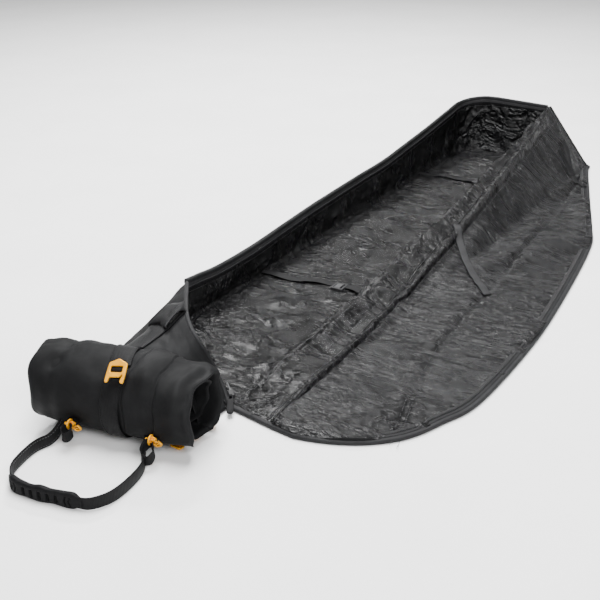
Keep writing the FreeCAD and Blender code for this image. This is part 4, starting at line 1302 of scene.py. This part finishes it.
def handle_grip():
    """The moulded grip: a swelling form with five slots and two chevrons at each end."""
    path = handle_path(1000)
    path = spaced(path[int(1000 * GRIP_FROM):int(1000 * GRIP_TO)], 340)
    _, side, up = path_frames(path, (0, 0, 1))
    place = np.linspace(-1, 1, len(path))
    end = ease((1 - np.abs(place)) / 0.22)
    swell = (0.96 + 0.07 * np.cos(place * math.pi * 3.0)) * (0.62 + 0.38 * end)
    around = np.radians(np.linspace(0, 360, 84, endpoint=False))
    cos, sin = np.cos(around), np.sin(around)
    wide = np.sign(cos) * np.abs(cos) ** 0.55 * GRIP_DEEP / 2
    high = np.sign(sin) * np.abs(sin) ** 0.62 * GRIP_HIGH / 2
    face = np.clip(cos, 0, 1) ** 0.5
    level = high / (GRIP_HIGH / 2)
    slots = grip_hollows(place, level)
    ribs = 0.04 * np.cos(place * math.pi * 5)[:, None] * np.clip(level, 0, 1)[None]
    inset = -slots * face[None] * SLOT_DEEP
    points = (path[:, None] + side[:, None] * (wide[None] * swell[:, None] + inset)[..., None]
              + up[:, None] * (high[None] * (swell[:, None] + ribs))[..., None])
    points[..., 2] = np.maximum(points[..., 2] + 0.0015, GROUND_GAP)
    faces = tube_faces(*points.shape[:2])
    hollow = (slots * face[None])[:-1] > 0.45
    which = np.concatenate([hollow.reshape(-1).astype(int), [0, 0]])
    grip = new_piece("handle_grip_cover", points, faces, [RUBBER, WEBBING], which)
    rides(grip, "handle", "grip_rubber", "handle_grip")


PLATE_LINE = [(-7.5, 3), (-6, -2), (6, -2), (7.5, 3), (7.5, 21), (4, 24), (-4, 24), (-7.5, 21)]
PLATE_SLOTS = [[(-4, y), (4, y), (4, y + 2.6), (-4, y + 2.6)] for y in (7.5, 12.5, 17.5)]
PIN_AT = np.array(joints["handle_swing"]["pos_m"])
PIN_WAY = np.array(joints["handle_swing"]["axis"]) / np.linalg.norm(joints["handle_swing"]["axis"])
PIN_THICK, PIN_LONG = 0.0046, 0.019
EYE_ACROSS = 0.0125


def merged(name, *parts):
    """Several meshes of one material made one piece."""
    points, faces = [], []
    for part in parts:
        start = len(points)
        points += [tuple(vertex.co) for vertex in part.data.vertices]
        faces += [[start + index for index in face.vertices] for face in part.data.polygons]
    material = parts[0].data.materials[0]
    for part in parts:
        bpy.data.objects.remove(part)
    return new_piece(name, points, faces, [material], smooth=False)


def rod(name, points, wide, high, up, material, closed=False):
    return sweep(name, np.array(points, float), rounded(wide, high, min(wide, high) * 0.45, 4), up,
                 material, closed)


def pin_spot(node):
    """The place on the handle's swing axis that is level with a node."""
    return PIN_AT + PIN_WAY * np.dot(middle_of(node) - PIN_AT, PIN_WAY)


def unit(way):
    way = np.asarray(way, float)
    return way / np.linalg.norm(way)


OUTWARD = unit(from_roll((-1.0, 0, 0)) - from_roll((0.0, 0, 0)))
RIGHTWARD = unit(from_roll((0, -1.0, 0)) - from_roll((0.0, 0, 0)))


def gold_plate(name, spot, way, out):
    """A slotted gold plate that hangs from a spot."""
    way = unit(way)
    out = unit(out - way * np.dot(out, way))
    turn = Matrix((np.cross(way, out), way, out)).transposed().to_4x4()
    slots = [drawn(slot, 0.0008) for slot in PLATE_SLOTS]
    return plate(name, drawn(PLATE_LINE, 0.002), slots, 0.0030, 0.0007, GOLD,
                 Matrix.Translation(Vector(spot)) @ turn)


def roll_anchor(side, spot):
    """A gold plate on the roll, with the pin that the handle's hook turns on."""
    hang = RIGHTWARD * 0.45 + np.array([0, 0, -0.80]) - OUTWARD * 0.42
    pin = rod("pin", [spot - PIN_WAY * PIN_LONG / 2, spot + PIN_WAY * PIN_LONG / 2], PIN_THICK,
              PIN_THICK, (0, 0, 1), GOLD)
    body = gold_plate("plate", spot - OUTWARD * 0.0035, hang, OUTWARD)
    ears = [rod("ear", [spot + PIN_WAY * shift,
                        spot + PIN_WAY * shift - OUTWARD * 0.006 - (0, 0, 0.004)],
                0.003, 0.006, (0, 0, 1), GOLD) for shift in (-0.008, 0.008)]
    rides(merged("roll_anchor_" + side, body, pin, *ears), "bag_body", "gold_alloy",
          "anchor_" + side)


def hook_eye(side, spot):
    """The handle's gold ring round the anchor's pin."""
    turn = np.radians(np.linspace(0, 360, 36, endpoint=False))
    eye = [spot + (OUTWARD * np.cos(a) + np.array([0, 0, 1]) * np.sin(a)) * EYE_ACROSS / 2
           for a in turn]
    ring = rod("eye", eye, 0.007, 0.0028, tuple(PIN_WAY), GOLD, closed=True)
    rides(ring, "handle", "gold_alloy", "handle_hook_" + side)
    ring.name = "handle_hook_eye_" + side


def anchor_tab(side, spot):
    """The webbing that holds an anchor to the roll."""
    tab = [spot - OUTWARD * 0.004 - (0, 0, 0.002), spot - OUTWARD * 0.013 - (0, 0, 0.001),
           spot - OUTWARD * 0.024 + (0, 0, 0.001)]
    web = sweep("anchor_web_" + side, smooth_path(tab, 12), rounded(0.024, 0.003, 0.001),
                (0, 0, 1), WEBBING)
    rides(web, "bag_body", "webbing", "anchor_tab_" + side)


END_LOOP = [            # the folded end of the handle's webbing: outward, along and down
    (0.004, 0.001, 0.10), (0.008, -0.008, 0.30), (0.020, -0.012, 0.66), (0.032, -0.004, 0.92),
    (0.031, 0.010, 0.90), (0.018, 0.014, 0.60), (0.005, 0.006, 0.12)]
END_SIDES = {"left": (1, 0.55), "right": (-1, 0.80)}     # which way it turns, and its size


def handle_end(side, spot):
    """The webbing folded back on itself at the handle's end."""
    sign, full = END_SIDES[side]
    base = -(spot[2] - WEB_HIGH / 2)
    loop = [spot + OUTWARD * a * full - RIGHTWARD * sign * b * full + (0, 0, base * c * full)
            for a, b, c in END_LOOP]
    fold = sweep("handle_end_" + side, smooth_path(loop, 60),
                 rounded(WEB_THICK, 0.019, 0.001, 2), (0, 0, 1), WEBBING)
    rides(fold, "handle", "webbing")


def anchors():
    for side in ("left", "right"):
        spot = pin_spot("anchor_" + side)
        roll_anchor(side, spot)
        hook_eye(side, spot)
        anchor_tab(side, spot)
        handle_end(side, spot)


LADDER_TIPS = [         # each plate's free end, its way out and its rise
    (-0.160, -0.152, 0.35), (-0.118, -0.158, 0.15), (-0.068, -0.160, 0.00)]


def ladder_anchors():
    """The rest of the ladder of gold plates, under the roll's right end."""
    plates = []
    for index, (x, y, turn) in enumerate(LADDER_TIPS):
        way = unit(RIGHTWARD + OUTWARD * turn)
        tip = np.array([NEAR + x, y, 0.0045 + 0.002 * index])
        plates.append(gold_plate("plate_%d" % index, tip - way * 0.024, way,
                                 RIGHTWARD * 0.1 + np.array([0, 0, 1.0])))
    rides(merged("ladder_anchor_plates", *plates), "bag_body", "gold_alloy", "spare_anchors")


# ---------------------------------------------------------------- straps inside, ties and zip pull
SKI_STRAP_WIDE = 0.025
SKI_STRAP_REST = 0.0145     # the height at which it lies on the lining
POLE_BAND_WIDE, POLE_TIE_WIDE = 0.020, 0.015


def floor_strap(name, node, place, slack):
    """A strap across the floor panel, lying slack."""
    y = np.linspace(-HALF + 0.014, HALF - 0.014, 90)
    x = NEAR + place + slack * 0.012 * np.sin(y * 21 + place * 5)
    z = SKI_STRAP_REST + 0.0022 * (1 + np.sin(y * 60 + place * 3))
    path = np.stack([x, y, z], -1)
    strap = sweep(name, path, rounded(SKI_STRAP_WIDE, 0.0018, 0.0008, 2), (0, 0, 1), WEBBING)
    rides(strap, "bag_body", "webbing", node)


def inner_straps():
    floor_strap("ski_strap_middle", "ski_strap_mid", 0.575, 1.0)
    floor_strap("ski_strap_end", "ski_strap_far", 1.500, 0.6)
    for part in ("mid", "far"):
        softened(part + "_buckle_frame", part + "_buckle", 0.0009, PLASTIC, "bag_body",
                 "black_plastic")
        softened(part + "_buckle_lever", part + "_lever", 0.0007, PLASTIC, part + "_lever",
                 "black_plastic")


def pole_holders(tree):
    """The bound band that keeps the poles, from the ridge to the lid's seam, and their ties."""
    start = np.array([NEAR + 1.000, -0.190, 0.3])
    end = np.array([NEAR + 0.725, -0.385, 0.3])
    path = np.linspace(start, end, 90)
    path[:, 0] -= 0.018 * np.sin(np.linspace(0, np.pi, 90))
    path = relaxed(dropped(tree, path, 0.0045), 12)
    band = sweep("pole_keeper", path, rounded(POLE_BAND_WIDE, 0.006, 0.0025), (0, 0, 1), BINDING)
    folds(band, "lid_break_fold", "webbing", "pole_band")
    for name, node, x0, y0, x1, y1 in (
            ("pole_tie_one", "pole_tie_near", 1.735, -0.235, 1.640, -0.355),
            ("pole_tie_two", "pole_tie_far", 1.800, -0.225, 1.700, -0.300)):
        line = np.linspace((NEAR + x0, y0, 0.4), (NEAR + x1, y1, 0.4), 60)
        line[:, 0] += 0.010 * np.sin(np.linspace(0, 4.5, 60))
        line = dropped(tree, line, 0.0025)
        line[:, 2] += 0.004 * np.abs(np.sin(np.linspace(0, 5, 60)))
        relaxed(line, 8)
        tie = sweep(name, line, rounded(POLE_TIE_WIDE, 0.0022, 0.0009, 2), (0, 0, 1), WEBBING)
        folds(tie, "lid_break_fold", "webbing", node)


PULL_LINE = [(-4.5, 13), (4.5, 13), (6, 24), (7, 44), (5, 52), (-5, 52), (-7, 44), (-6, 24)]
PULL_FACE = [(-2.6, 22), (2.6, 22), (4, 43), (2.5, 47.5), (-2.5, 47.5), (-4, 43)]


def zip_end():
    """The slider on the last of the zip, its wire link and its moulded pull."""
    softened("zip_slider_body", "zip_slider", 0.0012, ZINC, "zip_slider", "dark_metal")
    softened("zip_track_end", "zip_track", 0.0004, COIL, "bag_body", "zip_tape")
    hinge = np.array(joints["zip_pull_swing"]["pos_m"])
    way = unit(middle_of("pull_tab") - hinge)
    across = unit(np.cross((0, 0, 1), way))
    out = np.cross(way, across)
    turn = Matrix((-across, way, out)).transposed().to_4x4()
    place = Matrix.Translation(Vector(hinge)) @ turn
    loop = [hinge + way * a + across * b for a, b in
            ((0.0, 0.0030), (0.009, 0.0038), (0.0165, 0.0030), (0.0165, -0.0030), (0.009, -0.0038),
             (0.0, -0.0030))]
    link = rod("zip_pull_wire", smooth_path(loop + loop[:1], 48)[:-1], 0.0019, 0.0019, tuple(out),
               ZINC, closed=True)
    rides(link, "zip_pull", "dark_metal", "pull_link")
    body = plate("body", drawn(PULL_LINE, 0.003), [], 0.0042, 0.0012, RUBBER, place)
    face = plate("face", drawn(PULL_FACE, 0.002), [], 0.0054, 0.0006, RUBBER, place)
    rides(merged("zip_pull_tab", body, face), "zip_pull", "grip_rubber", "pull_tab")


hood_piece = hood()
roll_piece = tail_roll()
hood_tree = tree_of(hood_piece, roll_piece)
roll_tree = tree_of(roll_piece)
lid_tree = tree_of(bpy.data.objects["lid_inner_panel"], bpy.data.objects["lid_outer_panel"])
hood_band(hood_tree)
roll_straps(roll_tree)
roll_hook()
handle_webbing()
handle_grip()
anchors()
ladder_anchors()
inner_straps()
pole_holders(lid_tree)
zip_end()


# ---------------------------------------------------------------- camera and studio
CAMERA_AT = (-2.2880, -1.0917, 0.9827)
CAMERA_TURN = (65.3535, 0.0, -59.6232)
LENS = 60.282


def camera():
    data = bpy.data.cameras.new("camera")
    data.lens = LENS
    data.sensor_width = 36.0
    data.clip_start, data.clip_end = 0.05, 30.0
    view = bpy.data.objects.new("camera", data)
    view.location = CAMERA_AT
    view.rotation_euler = [math.radians(angle) for angle in CAMERA_TURN]
    bpy.context.scene.collection.objects.link(view)
    bpy.context.scene.camera = view


def lamp(name, place, aim, size, power):
    data = bpy.data.lights.new(name, "AREA")
    data.shape = "RECTANGLE"
    data.size, data.size_y = size
    data.energy = power
    light = bpy.data.objects.new(name, data)
    light.location = place
    light.rotation_euler = (Vector(aim) - Vector(place)).to_track_quat("-Z", "Y").to_euler()
    bpy.context.scene.collection.objects.link(light)


def studio():
    """A pale floor and three soft lamps."""
    reach = 14.0
    ground = new_piece("studio_floor", [(-reach, -reach, 0), (reach, -reach, 0), (reach, reach, 0),
                                        (-reach, reach, 0)], [(0, 1, 2, 3)], [], smooth=False)
    pale = Finish("pale_floor", 0.9, Specular_IOR_Level=0.1)
    clouds = pale.group("wear", Scale=3.0)
    pale.colour(clouds["Clouds"], (0.90, 0.90, 0.90), (0.94, 0.94, 0.94))
    ground.data.materials.append(pale.material)
    lamp("back_light", (2.2, 1.7, 3.1), (0.3, -0.2, 0.0), (0.9, 0.5), 210)
    lamp("fill_light", (-2.6, -2.6, 2.6), (0.0, -0.1, 0.0), (2.4, 1.6), 150)
    lamp("top_light", (-0.2, 0.2, 3.4), (0.0, -0.1, 0.0), (2.6, 1.8), 360)
    world = bpy.data.worlds.new("studio_air")
    world.use_nodes = True
    world.node_tree.nodes["Background"].inputs[0].default_value = (1.0, 1.0, 1.0, 1.0)
    world.node_tree.nodes["Background"].inputs[1].default_value = 0.26
    bpy.context.scene.world = world


camera()
studio()
bpy.context.view_layer.update()
